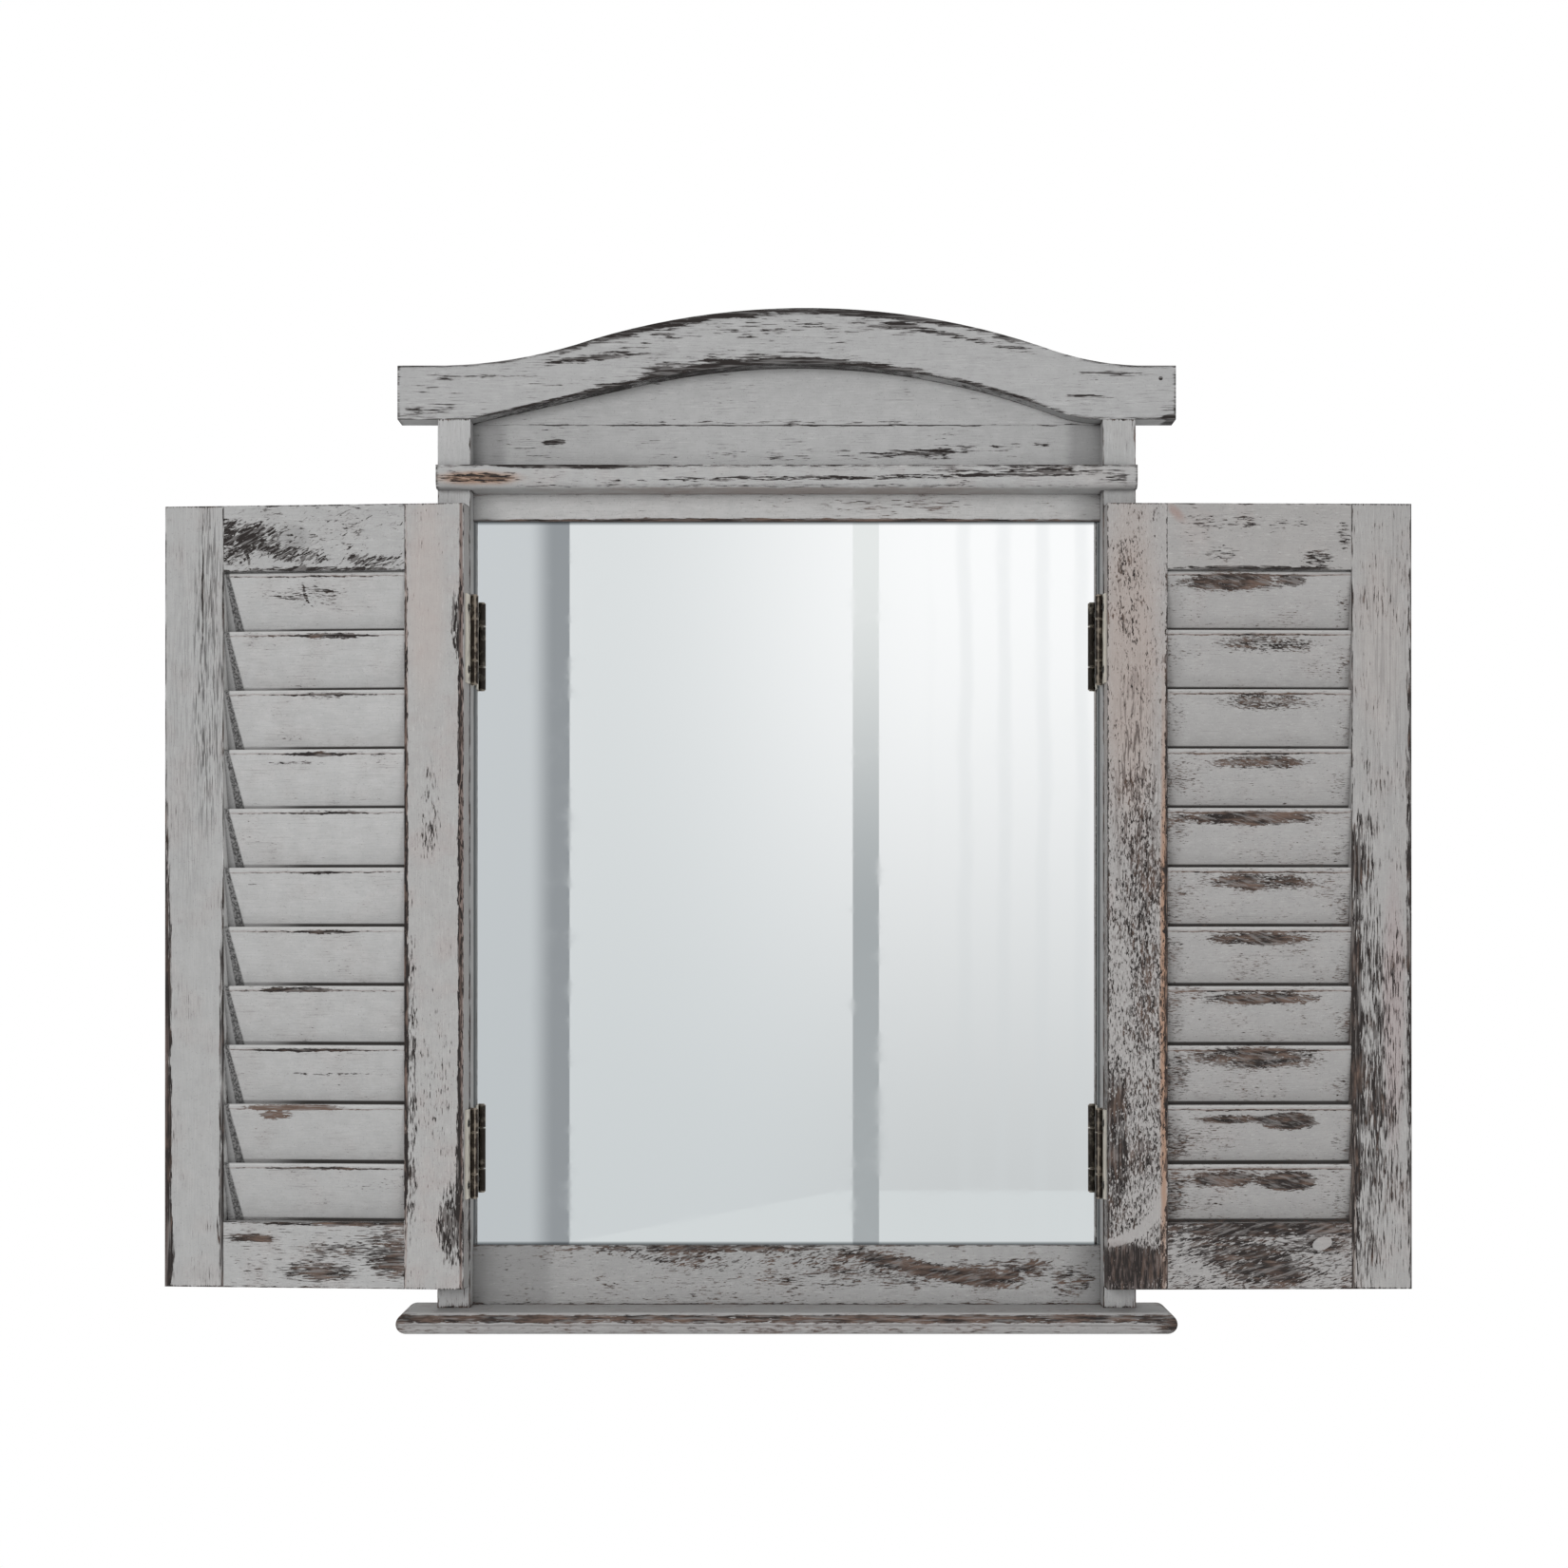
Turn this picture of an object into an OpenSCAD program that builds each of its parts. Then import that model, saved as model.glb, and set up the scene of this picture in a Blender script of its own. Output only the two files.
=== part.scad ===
// Window-style wall mirror with two louvred shutters.
// The frame hangs on the wall plane y = 0 and faces -Y, with +Z up and +X to the right.
// The origin lies on the wall plane, midway between the round holes of the two hangers.
// The shutters are drawn closed about their pin line, and then turned to where they rest.

/* [Frame] */
// Clear width between the two posts
opening_w = 329; // [280:1:380]
// Height of the mirror that shows between the rails
opening_h = 380; // [330:1:440]
// Width of a post's front face
post_w = 17; // [16:0.5:24]
// Height of the bottom rail, between the sill and the mirror
bottom_rail_h = 31; // [26:0.5:44]
// Height of the top rail that shows between the mirror and the shelf moulding
top_rail_show = 14; // [12:0.5:24]
// Height from the shelf moulding's top to the ends of the crown
tympanum_side_h = 25; // [18:0.5:40]
// How far the joint between the tympanum boards lies below the ends of the crown
seam_drop = 0.5; // [0.5:0.5:6]
// Thickness of the tympanum boards
board_t = 5; // [4:0.5:6]

/* [Sill and shelf] */
// Thickness of the sill, which its half-round nose follows
sill_t = 11; // [8:0.5:16]
// How far the sill runs past each post at its side
sill_side = 18.5; // [10:0.5:30]
// How far the sill stands in front of the posts
sill_nose = 26; // [15:0.5:36]
// Height of the shelf moulding
shelf_h = 12; // [9:0.5:18]
// How far the shelf moulding stands in front of the posts
shelf_nose = 10; // [6:0.5:16]
// Radius under the front edge of the shelf moulding
shelf_round = 4; // [2:0.5:6]

/* [Crown] */
// Thickness of the crown board
crown_t = 20; // [16:0.5:22]
// Height of the crown board at its ends
crown_h = 28; // [24:0.5:40]
// How far the crown runs past each post at its side
crown_side = 21; // [10:0.5:30]
// Rise of the crown's top edge from its ends to the middle
arch_rise = 30; // [20:0.5:38]
// Rise of the arch below the crown
soffit_rise = 29; // [20:0.5:32]
// Length of the flat at the left end of the crown's top edge
left_flat = 18.5; // [6:0.5:30]
// Length of the flat at the right end of the crown's top edge
right_flat = 14.5; // [6:0.5:30]
// How far to the right of the centre line the crown's top edge is highest
arch_shift = 10; // [0:0.5:12]
// How far to the right of the centre line the arch below the crown is highest
soffit_shift = 6; // [0:0.5:7]
// Share of the top edge's shorter slope that its round middle takes
arch_round = 0.71; // [0.5:0.01:0.8]
// Share of the lower arch's right slope that its round middle takes
soffit_round = 0.85; // [0.6:0.01:0.9]
// How far the upper tympanum board runs up behind the crown
board_lip = 8; // [5:0.5:12]

/* [Mirror and back] */
// Thickness of the mirror glass
glass_t = 3; // [2:0.5:5]
// Thickness of the back panel
back_t = 2; // [1.5:0.5:4]
// How far the back panel lies in from the wall plane
back_inset = 1.5; // [1.2:0.1:3]
// Width of the rebate that holds the glass, on all four sides
rebate_w = 5; // [4:0.5:6]
// Thickness of the wood in front of the glass
rebate_lip = 2.5; // [2:0.5:5]
// Play between the glass and the end of its rebate
glass_play = 0.5; // [0.3:0.1:1]

/* [Shutters] */
// Thickness of the shutters
shutter_t = 14; // [12:0.5:18]
// Width of the stiles
stile_w = 31; // [24:0.5:40]
// Height of a shutter's top rail
shutter_top_rail_h = 34; // [26:0.5:46]
// Height of a shutter's bottom rail
shutter_bottom_rail_h = 34; // [26:0.5:46]
// Gap between the closed shutters
meeting_gap = 6; // [2:0.5:10]
// Gap from the shutters' top to the shelf moulding
shutter_top_gap = 9; // [3:0.5:16]
// Gap from the shutters' bottom to the sill
shutter_bottom_gap = 11.5; // [3:0.5:20]
// Gap between a closed shutter and the rails behind it
closed_gap = 1; // [0.5:0.1:3]
// How far past straight open the left shutter rests, in degrees
left_rest_angle = 5.5; // [0:0.5:9]
// How far past straight open the right shutter rests, in degrees
right_rest_angle = 1.5; // [0:0.5:9]

/* [Slats] */
// Number of slats in a shutter
slat_count = 11; // [8:1:11]
// Thickness of a slat, which its rounded edges follow
slat_t = 4; // [3:0.25:5]
// How far each slat laps the next one, measured upright
slat_lap = 2.2; // [1:0.1:5]
// Wood left on each side of a slat's housing in the stile
slat_cover = 0.8; // [0.6:0.1:2]
// Depth of the slats' housings in the stiles
housing_d = 4; // [3:0.5:7]
// Gap between the top slat and the top rail
slat_top_gap = 0.4; // [0.3:0.1:1.5]

/* [Hinges] */
// Height of a hinge
hinge_h = 46; // [36:1:60]
// Distance from a shutter's end to the middle of the nearest hinge
hinge_inset = 69; // [50:1:100]
// Outer radius of the knuckles
knuckle_r = 2.2; // [2:0.1:3]
// Radius of the hinge pins
pin_r = 1.1; // [0.8:0.05:1.2]
// Running clearance round a hinge pin
pin_play = 0.05; // [0.03:0.01:0.08]
// Thickness of the leaves
leaf_t = 0.9; // [0.7:0.1:1.1]
// Distance from the pin line to the free edge of a leaf
leaf_reach = 12.5; // [11:0.5:13.5]
// How far the pin line stands in front of the posts
pin_stand = 2.5; // [2.4:0.1:4]
// Height of the middle knuckle
mid_knuckle_h = 22; // [14:0.5:28]
// End play between the knuckles
knuckle_gap = 0.4; // [0.2:0.1:0.6]
// Distance between a leaf's two screws
leaf_screw_pitch = 32; // [24:1:36]
// Distance from the pin line to the leaf screws
leaf_screw_reach = 7.8; // [7:0.1:9]

/* [Screws and dowels] */
// Radius of a leaf screw's head
leaf_head_r = 2.2; // [1.8:0.1:2.4]
// Height of a leaf screw's head
leaf_head_h = 0.9; // [0.5:0.1:1]
// Radius of a leaf screw's shank
leaf_shank_r = 1.3; // [0.9:0.1:1.5]
// Length of a leaf screw below its head
leaf_screw_l = 12; // [8:0.5:13]
// Length of the screws that go up through the sill
sill_screw_l = 30; // [20:1:34]
// Radius of the sill screws' heads
sill_head_r = 3.2; // [2.6:0.1:3.8]
// Distance of the sill screws from the front and back of the posts
sill_screw_inset = 6.5; // [5:0.5:8]
// Radius of the dowels between the posts and the crown
dowel_r = 3; // [2:0.5:3.5]
// Length of those dowels
dowel_l = 24; // [16:1:32]

/* [Hangers] */
// Distance from the posts to the middle of each hanger's round hole
hanger_inset = 44.5; // [30:0.5:80]
// Height of the hangers' round holes above the mirror opening
hanger_rise = 13; // [12.5:0.1:13.5]
// Width of a hanger plate
hanger_w = 36; // [32:1:44]
// Height of a hanger plate
hanger_h = 16; // [15:0.5:16.5]
// Thickness of a hanger plate
hanger_t = 1.5; // [1.2:0.1:2]
// Radius of the round hole that passes a wall screw's head
keyhole_r = 4; // [3.5:0.1:4.2]
// Width of the slot that the wall screw's shank slides up
keyhole_slot_w = 4.2; // [3.5:0.1:4.6]
// Rise of the slot's top end above the round hole's centre
keyhole_rise = 7; // [5:0.5:7]

/* [Hidden] */
$fn = 64;
arch_fn = 240;
fit = 0.15;
past = 1;
paint = [0.69, 0.69, 0.69];
shade_paint = [0.64, 0.64, 0.64];
slat_paint = [0.73, 0.73, 0.72];
old_brass = [0.36, 0.3, 0.22];
steel = [0.55, 0.55, 0.56];
raw_wood = [0.72, 0.58, 0.42];
hardboard = [0.45, 0.33, 0.22];
silver = [0.85, 0.89, 0.92];

// Depths, from the wall plane forwards
back_y = -back_inset - back_t;
glass_y = back_y - glass_t;
rail_t = -glass_y + rebate_lip;
post_d = rail_t + closed_gap + shutter_t;
board_back_y = board_t - rail_t;

// Heights, from the sill upwards
sill_z = -(sill_t + bottom_rail_h + opening_h + hanger_rise);
foot_z = sill_z + sill_t;
opening_z = foot_z + bottom_rail_h;
opening_top = opening_z + opening_h;
shelf_z = opening_top + top_rail_show;
shelf_top = shelf_z + shelf_h;
joint_cover = 1;
board_z = shelf_top - joint_cover;
crown_z = shelf_top + tympanum_side_h;
seam_z = crown_z - seam_drop;

// Widths
post_x = opening_w / 2;
frame_half = post_x + post_w;
hanger_spread = opening_w - 2 * hanger_inset;
groove_d = 4;
tenon_l = 5;
tenon_t = 4;
tenon_shoulder = 4;

// The crown and its arches
crown_half = frame_half + crown_side;
arch_left = crown_half + arch_shift - left_flat;
arch_right = crown_half - arch_shift - right_flat;
soffit_half = post_x - soffit_shift;
soffit_left = post_x + soffit_shift;
soffit_r = soffit_round * ogee_r(soffit_half, soffit_rise);
ramp_angle = asin(soffit_r / norm([soffit_left, soffit_r - soffit_rise]))
    - atan2(soffit_r - soffit_rise, soffit_left);
hollow_bite = 0.1;
flat_overlap = 12;
ramp_overlap = 25;

// The pin lines
pin_x = post_x - knuckle_r;
pin_y = -post_d - pin_stand;

// A shutter, seen from its pin line
shutter_w = pin_x - knuckle_r - meeting_gap / 2;
shutter_z = foot_z + shutter_bottom_gap;
shutter_top = shelf_z - shutter_top_gap;
field_x = knuckle_r + stile_w;
field_w = shutter_w - 2 * stile_w;
field_z = shutter_z + shutter_bottom_rail_h;
field_top = shutter_top - shutter_top_rail_h;
shutter_tenon_l = 8;
shutter_tenon_t = 5;
shutter_shoulder = 6;
hinge_heights = [shutter_top - hinge_inset, shutter_z + hinge_inset];
straight_open = 180;

// Slats: their upright and level extents set their tilt and width
slat_pitch = (field_top - field_z) / slat_count;
slat_upright = slat_pitch + slat_lap - slat_t;
slat_level = shutter_t - 2 * slat_cover - slat_t;
slat_tilt = atan2(slat_level, slat_upright);
slat_core = norm([slat_level, slat_upright]);
slat_mid_y = pin_stand + shutter_t / 2;
top_slat_z = field_top - slat_top_gap - (slat_upright + slat_t) / 2;

// Glazing points
point_t = 0.5;
point_w = 8;
point_l = 9;
point_in = 3;
point_inset = 60;
point_side_z = [opening_z + point_inset, opening_z + opening_h / 2, opening_top - point_inset];
point_rail_x = [-hanger_spread / 4, hanger_spread / 4];

// The hinge pins' ends
pin_head_h = 0.5;
pin_head_over = 0.5;
pin_end_play = 0.1;

// Hanger pockets
keyhole_mid = 2;
pocket_w = 12;
pocket_d = 4;
hanger_screw_x = 5;
hanger_head_r = 2.4;
hanger_head_h = 1.2;
hanger_shank_r = 1.2;
hanger_screw_l = 6.5;
sill_shank_r = 1.7;
sill_head_h = 2.4;

// ---- Helpers ----

// A flat outline drawn in X and Z, made solid from y0 back to y1
module upright_slab(y0, y1) {
    translate([0, y1, 0]) rotate([90, 0, 0]) linear_extrude(y1 - y0) children();
}

// A section drawn in Y and Z, made solid from x0 to x1
module level_bar(x0, x1) {
    translate([x0, 0, 0]) rotate([90, 0, 90]) linear_extrude(x1 - x0) children();
}

// A box given by its two corners
module box(low, high) {
    translate(low) cube(high - low);
}

// The same thing on both sides of the frame
module both_sides() {
    children();
    mirror([1, 0, 0]) children();
}

module on_right(right) {
    mirror([right ? 1 : 0, 0, 0]) children();
}

// Puts what is drawn about a pin line in its place on one side of the frame
module at_pin_line(right) {
    on_right(right) translate([-pin_x, pin_y, 0]) children();
}

// Turns a closed shutter to where it rests
module at_rest(right) {
    rest_angle = right ? right_rest_angle : left_rest_angle;
    at_pin_line(right) rotate([0, 0, -straight_open - rest_angle]) children();
}

// The radius of the two arcs together that make one slope of an ogee edge
function ogee_r(run, rise) = (run * run + rise * rise) / (2 * rise);

// How far below the highest point a slope's round middle gives way to its hollow
function ogee_drop(run, rise, middle_r) =
    middle_r * (1 - sqrt(1 - pow(run / ogee_r(run, rise), 2)));

// The area from low up to an ogee edge: a round middle that two hollows cut into at its ends.
// Each hollow is a hair larger than one that only touches the middle, so that edges cross cleanly.
module below_ogee(flat, rise, left_run, right_run, round_share, low) {
    middle_r = round_share * ogee_r(min(left_run, right_run), rise);
    top = flat + rise;
    difference() {
        union() {
            intersection() {
                translate([0, top - middle_r]) circle(r = middle_r, $fn = arch_fn);
                translate([-left_run, low]) square([left_run + right_run, top + past - low]);
            }
            translate([-left_run, low])
                square([left_run, top - ogee_drop(left_run, rise, middle_r) - low]);
            translate([-past, low])
                square([right_run + past, top - ogee_drop(right_run, rise, middle_r) - low]);
        }
        ogee_hollow(-left_run, ogee_r(left_run, rise) - middle_r, flat);
        ogee_hollow(right_run, ogee_r(right_run, rise) - middle_r, flat);
    }
}

module ogee_hollow(x, hollow_r, flat) {
    translate([x, flat + hollow_r]) circle(r = hollow_r + hollow_bite, $fn = arch_fn);
}

// The area below the soffit's arch, drawn about its highest point and moved to its place.
// Its right slope is an ogee. Its left one runs straight from the post up to the round middle.
module below_soffit(flat, low) {
    ramp_top = [-soffit_r * sin(ramp_angle), flat + soffit_rise - soffit_r * (1 - cos(ramp_angle))];
    ramp_foot = [-soffit_left - past, flat - past * tan(ramp_angle)];
    translate([soffit_shift, 0]) {
        intersection() {
            below_ogee(flat, soffit_rise, soffit_half, soffit_half, soffit_round, low);
            translate([ramp_top.x - ramp_overlap, low - past])
                square([soffit_half - ramp_top.x + ramp_overlap + past, 2 * past + ramp_top.y
                    + soffit_rise - low]);
        }
        polygon([
            [ramp_foot.x, low],
            ramp_foot,
            ramp_top - [0, hollow_bite],
            [ramp_top.x, low],
        ]);
    }
}

// A screw with a domed head and a cross recess, standing on z = 0 with its shank below
module dome_screw(head_r, head_h, shank_r, length) {
    dome_r = (head_r * head_r + head_h * head_h) / (2 * head_h);
    cross_l = 1.5 * head_r;
    cross_w = 0.22 * head_r;
    difference() {
        union() {
            intersection() {
                translate([0, 0, head_h - dome_r]) sphere(r = dome_r);
                cylinder(r = head_r, h = head_h);
            }
            translate([0, 0, -length]) cylinder(r = shank_r, h = length);
        }
        for (turn = [0, 90])
            rotate([0, 0, turn])
                translate([-cross_l / 2, -cross_w / 2, head_h / 2]) cube([cross_l, cross_w, head_h]);
    }
}

// A countersunk screw whose head ends at z = 0, and the hole for it, which is larger by grow
module flat_screw(head_r, head_h, shank_r, length, grow) {
    translate([0, 0, -head_h]) cylinder(r1 = shank_r + grow, r2 = head_r + grow, h = head_h);
    translate([0, 0, -length - grow]) cylinder(r = shank_r + grow, h = length + grow - head_h / 2);
    if (grow > 0) cylinder(r = head_r + grow, h = past);
}

// ---- Frame ----

module rail_mortise(low, high) {
    box([post_x - past, -rail_t / 2 - tenon_t / 2 - fit, low - fit],
        [post_x + tenon_l + fit, -rail_t / 2 + tenon_t / 2 + fit, high + fit]);
}

module glazing_slot() {
    translate([0, -back_inset, 0])
        box([-past, -fit, -point_w / 2 - fit], [point_in + fit, point_t + fit, point_w / 2 + fit]);
}

module crown_dowel(grow) {
    translate([post_x + post_w / 2, -post_d + crown_t / 2, crown_z - dowel_l / 2 - grow])
        cylinder(r = dowel_r + grow, h = dowel_l + 2 * grow);
}

module sill_screw_set(grow) {
    for (y = [-post_d + sill_screw_inset, -sill_screw_inset])
        translate([post_x + post_w / 2, y, sill_z])
            rotate([180, 0, 0])
                flat_screw(sill_head_r, sill_head_h, sill_shank_r, sill_screw_l, grow);
}

// The right post; the left one is its mirror image
module post() {
    tenon_top = board_z - tenon_shoulder;
    difference() {
        box([post_x, -post_d, foot_z], [frame_half, 0, crown_z]);
        // Rebate for the glass, stopped at both rails
        box([post_x - past, glass_y, opening_z - rebate_w],
            [post_x + rebate_w, past, opening_top + rebate_w]);
        // Groove for the lower tympanum board
        box([post_x - past, -rail_t - fit, board_z - fit],
            [post_x + groove_d, board_back_y + fit, crown_z + past]);
        rail_mortise(foot_z + tenon_shoulder, opening_z - rebate_w - tenon_shoulder);
        rail_mortise(opening_top + rebate_w + tenon_shoulder, tenon_top);
        for (z = point_side_z) translate([post_x + rebate_w, 0, z]) glazing_slot();
        crown_dowel(fit);
        sill_screw_set(fit);
        translate([pin_x, pin_y, 0]) mirror([1, 0, 0]) post_screw_places() leaf_pilot();
    }
}

module left_post() {
    color(paint) mirror([1, 0, 0]) post();
}

module right_post() {
    color(paint) post();
}

// The raised rectangle and arch that the upper tympanum board fills behind the crown
module board_outline(grow) {
    half = post_x - fit + grow;
    lip_z = crown_z + board_lip + grow;
    top = lip_z + soffit_rise + past;
    difference() {
        translate([-half, seam_z]) square([2 * half, top - seam_z]);
        difference() {
            translate([-half - past, lip_z]) square([2 * half + 2 * past, top + past - lip_z]);
            below_soffit(lip_z, seam_z - past);
        }
    }
}

module crown_outline() {
    top_z = crown_z + crown_h;
    difference() {
        union() {
            translate([arch_shift, 0])
                below_ogee(top_z, arch_rise, arch_left, arch_right, arch_round, crown_z);
            translate([-crown_half, crown_z]) square([left_flat + flat_overlap, crown_h]);
            translate([crown_half - right_flat - flat_overlap, crown_z])
                square([right_flat + flat_overlap, crown_h]);
        }
        below_soffit(crown_z, crown_z - past);
    }
}

module crown_board() {
    color(paint) difference() {
        upright_slab(-post_d, -post_d + crown_t) crown_outline();
        upright_slab(-rail_t - fit, past) board_outline(fit);
        both_sides() crown_dowel(fit);
    }
}

module tympanum_upper_board() {
    color(shade_paint) upright_slab(-rail_t, board_back_y) board_outline(0);
}

module tympanum_lower_board() {
    half = post_x + groove_d - fit;
    color(shade_paint) box([-half, -rail_t, board_z], [half, board_back_y, seam_z]);
}

// The shelf moulding's section: square above, with a round under its nose
module shelf_section() {
    front = -post_d - shelf_nose;
    translate([front, shelf_z + shelf_round]) square([shelf_nose, shelf_h - shelf_round]);
    translate([front + shelf_round, shelf_z]) square([shelf_nose - shelf_round, shelf_h]);
    translate([front + shelf_round, shelf_z + shelf_round]) circle(r = shelf_round);
}

module shelf_moulding() {
    half = post_x - fit;
    color(paint) {
        level_bar(-frame_half, frame_half) shelf_section();
        box([-half, -post_d - joint_cover, shelf_z], [half, -rail_t, shelf_top]);
    }
}

// A rail's stub tenon at the right end
module rail_tenon(low, high) {
    box([post_x - past, -rail_t / 2 - tenon_t / 2, low],
        [post_x + tenon_l - fit, -rail_t / 2 + tenon_t / 2, high]);
}

// Places both hangers' outlines, about the centre of each round hole
module hanger_places() {
    for (side = [-1, 1]) translate([side * hanger_spread / 2, 0, 0]) children();
}

module hanger_screw_places() {
    for (side = [-1, 1])
        translate([side * (hanger_w / 2 - hanger_screw_x), 0, keyhole_mid])
            rotate([-90, 0, 0]) children();
}

module hanger_pocket() {
    low = keyhole_mid - hanger_h / 2;
    box([-hanger_w / 2 - fit, -hanger_t, low - fit],
        [hanger_w / 2 + fit, past, low + hanger_h + fit]);
    box([-pocket_w / 2, -hanger_t - pocket_d, low + past],
        [pocket_w / 2, past, low + hanger_h - past]);
    hanger_screw_places() flat_screw(hanger_head_r, hanger_head_h, hanger_shank_r, hanger_screw_l, fit);
}

module top_rail() {
    low = opening_top + rebate_w;
    color(shade_paint) difference() {
        union() {
            box([-post_x, -rail_t, opening_top], [post_x, 0, board_z]);
            both_sides() rail_tenon(low + tenon_shoulder, board_z - tenon_shoulder);
        }
        box([-post_x - past, glass_y, opening_top - past], [post_x + past, past, low]);
        for (x = point_rail_x) translate([x, 0, low]) rotate([0, -90, 0]) glazing_slot();
        hanger_places() hanger_pocket();
    }
}

module bottom_rail() {
    high = opening_z - rebate_w;
    color(shade_paint) difference() {
        union() {
            box([-post_x, -rail_t, foot_z], [post_x, 0, opening_z]);
            both_sides() rail_tenon(foot_z + tenon_shoulder, high - tenon_shoulder);
        }
        box([-post_x - past, glass_y, high], [post_x + past, past, opening_z + past]);
        for (x = point_rail_x) translate([x, 0, high]) rotate([0, 90, 0]) glazing_slot();
    }
}

// The sill has a half-round nose along its front and both ends
module sill() {
    half = frame_half + sill_side;
    depth = post_d + sill_nose;
    nose_r = sill_t / 2;
    mid_z = sill_z + nose_r;
    color(paint) difference() {
        intersection() {
            level_bar(-half, half) {
                translate([-depth + nose_r, sill_z]) square([depth - nose_r, sill_t]);
                translate([-depth + nose_r, mid_z]) circle(r = nose_r);
            }
            upright_slab(-depth, 0) {
                translate([-half + nose_r, sill_z]) square([2 * (half - nose_r), sill_t]);
                for (side = [-1, 1]) translate([side * (half - nose_r), mid_z]) circle(r = nose_r);
            }
        }
        both_sides() sill_screw_set(fit);
    }
}

module pane(y0, y1) {
    half = post_x + rebate_w - glass_play;
    box([-half, y0, opening_z - rebate_w + glass_play],
        [half, y1, opening_top + rebate_w - glass_play]);
}

module mirror_glass() {
    color(silver) pane(glass_y, back_y);
}

module back_panel() {
    color(hardboard) pane(back_y, -back_inset);
}

module glazing_point() {
    translate([point_in - point_l, -back_inset, -point_w / 2]) cube([point_l, point_t, point_w]);
}

module glazing_points() {
    color(steel) {
        both_sides() for (z = point_side_z) translate([post_x + rebate_w, 0, z]) glazing_point();
        for (x = point_rail_x) {
            translate([x, 0, opening_top + rebate_w]) rotate([0, -90, 0]) glazing_point();
            translate([x, 0, opening_z - rebate_w]) rotate([0, 90, 0]) glazing_point();
        }
    }
}

module hanger_plate() {
    low = keyhole_mid - hanger_h / 2;
    difference() {
        box([-hanger_w / 2, -hanger_t, low], [hanger_w / 2, 0, low + hanger_h]);
        upright_slab(-hanger_t - past, past) {
            circle(r = keyhole_r);
            translate([-keyhole_slot_w / 2, 0]) square([keyhole_slot_w, keyhole_rise - keyhole_slot_w / 2]);
            translate([0, keyhole_rise - keyhole_slot_w / 2]) circle(r = keyhole_slot_w / 2);
        }
        hanger_screw_places()
            flat_screw(hanger_head_r, hanger_head_h, hanger_shank_r, hanger_screw_l, fit);
    }
}

module left_hanger_plate() {
    color(steel) translate([-hanger_spread / 2, 0, 0]) hanger_plate();
}

module right_hanger_plate() {
    color(steel) translate([hanger_spread / 2, 0, 0]) hanger_plate();
}

module hanger_screws() {
    color(steel) hanger_places() hanger_screw_places()
        flat_screw(hanger_head_r, hanger_head_h, hanger_shank_r, hanger_screw_l, 0);
}

module sill_screws() {
    color(steel) both_sides() sill_screw_set(0);
}

module crown_dowels() {
    color(raw_wood) both_sides() crown_dowel(0);
}

// ---- Hinges, drawn about the pin line of the left side, with the shutter closed ----

// A leaf's section: the plate behind the pin, with or without its knuckle
module leaf_section(knuckle) {
    if (knuckle) difference() {
        union() {
            circle(r = knuckle_r);
            translate([-knuckle_r, 0]) square([leaf_t, leaf_reach]);
        }
        circle(r = pin_r + pin_play);
    }
    else translate([-knuckle_r, knuckle_r + knuckle_gap])
        square([leaf_t, leaf_reach - knuckle_r - knuckle_gap]);
}

// A leaf whose knuckles run over each [low, high] in spans, and which is plain elsewhere
module leaf(spans, plain) {
    difference() {
        union() {
            for (s = spans) translate([0, 0, s[0]]) linear_extrude(s[1] - s[0]) leaf_section(true);
            for (s = plain) translate([0, 0, s[0]]) linear_extrude(s[1] - s[0]) leaf_section(false);
        }
        for (side = [-1, 1])
            translate([-knuckle_r - past, leaf_screw_reach, side * leaf_screw_pitch / 2])
                rotate([0, 90, 0]) cylinder(r = leaf_shank_r + fit, h = leaf_t + 2 * past);
    }
}

// The post's leaf carries the two end knuckles
module post_leaf() {
    end_z = hinge_h / 2;
    mid_z = mid_knuckle_h / 2;
    color(old_brass) leaf([[-end_z, -mid_z], [mid_z, end_z]], [[-mid_z, mid_z]]);
}

// The shutter's leaf carries the middle knuckle, which has end play
module shutter_leaf() {
    end_z = hinge_h / 2;
    mid_z = mid_knuckle_h / 2 - knuckle_gap;
    color(old_brass) mirror([1, 0, 0]) leaf([[-mid_z, mid_z]], [[-end_z, -mid_z], [mid_z, end_z]]);
}

module leaf_screw_heights() {
    for (z = hinge_heights, side = [-1, 1])
        translate([0, leaf_screw_reach, z + side * leaf_screw_pitch / 2]) children();
}

// Screw places on the post side: the head faces the mirror and the shank runs into the post
module post_screw_places() {
    translate([leaf_t - knuckle_r, 0, 0]) leaf_screw_heights() rotate([0, 90, 0]) children();
}

// Screw places on the shutter side: the head faces the post and the shank runs into the stile
module shutter_screw_places() {
    translate([knuckle_r - leaf_t, 0, 0]) leaf_screw_heights() rotate([0, -90, 0]) children();
}

module leaf_screw() {
    dome_screw(leaf_head_r, leaf_head_h, leaf_shank_r, leaf_screw_l);
}

module leaf_pilot() {
    translate([0, 0, -leaf_screw_l - fit]) cylinder(r = leaf_shank_r + fit, h = leaf_screw_l + fit);
}

module hinge_pin() {
    length = hinge_h + pin_end_play;
    cylinder(r = pin_r, h = length, center = true);
    for (side = [-1, 1])
        translate([0, 0, side * (length + pin_head_h) / 2])
            cylinder(r = pin_r + pin_head_over, h = pin_head_h, center = true);
}

module post_leaf_at(right, upper) {
    at_pin_line(right) translate([0, 0, hinge_heights[upper ? 0 : 1]]) post_leaf();
}

module shutter_leaf_at(right, upper) {
    at_rest(right) translate([0, 0, hinge_heights[upper ? 0 : 1]]) shutter_leaf();
}

module post_leaf_screws() {
    color(old_brass) for (right = [false, true]) at_pin_line(right) post_screw_places() leaf_screw();
}

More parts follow.
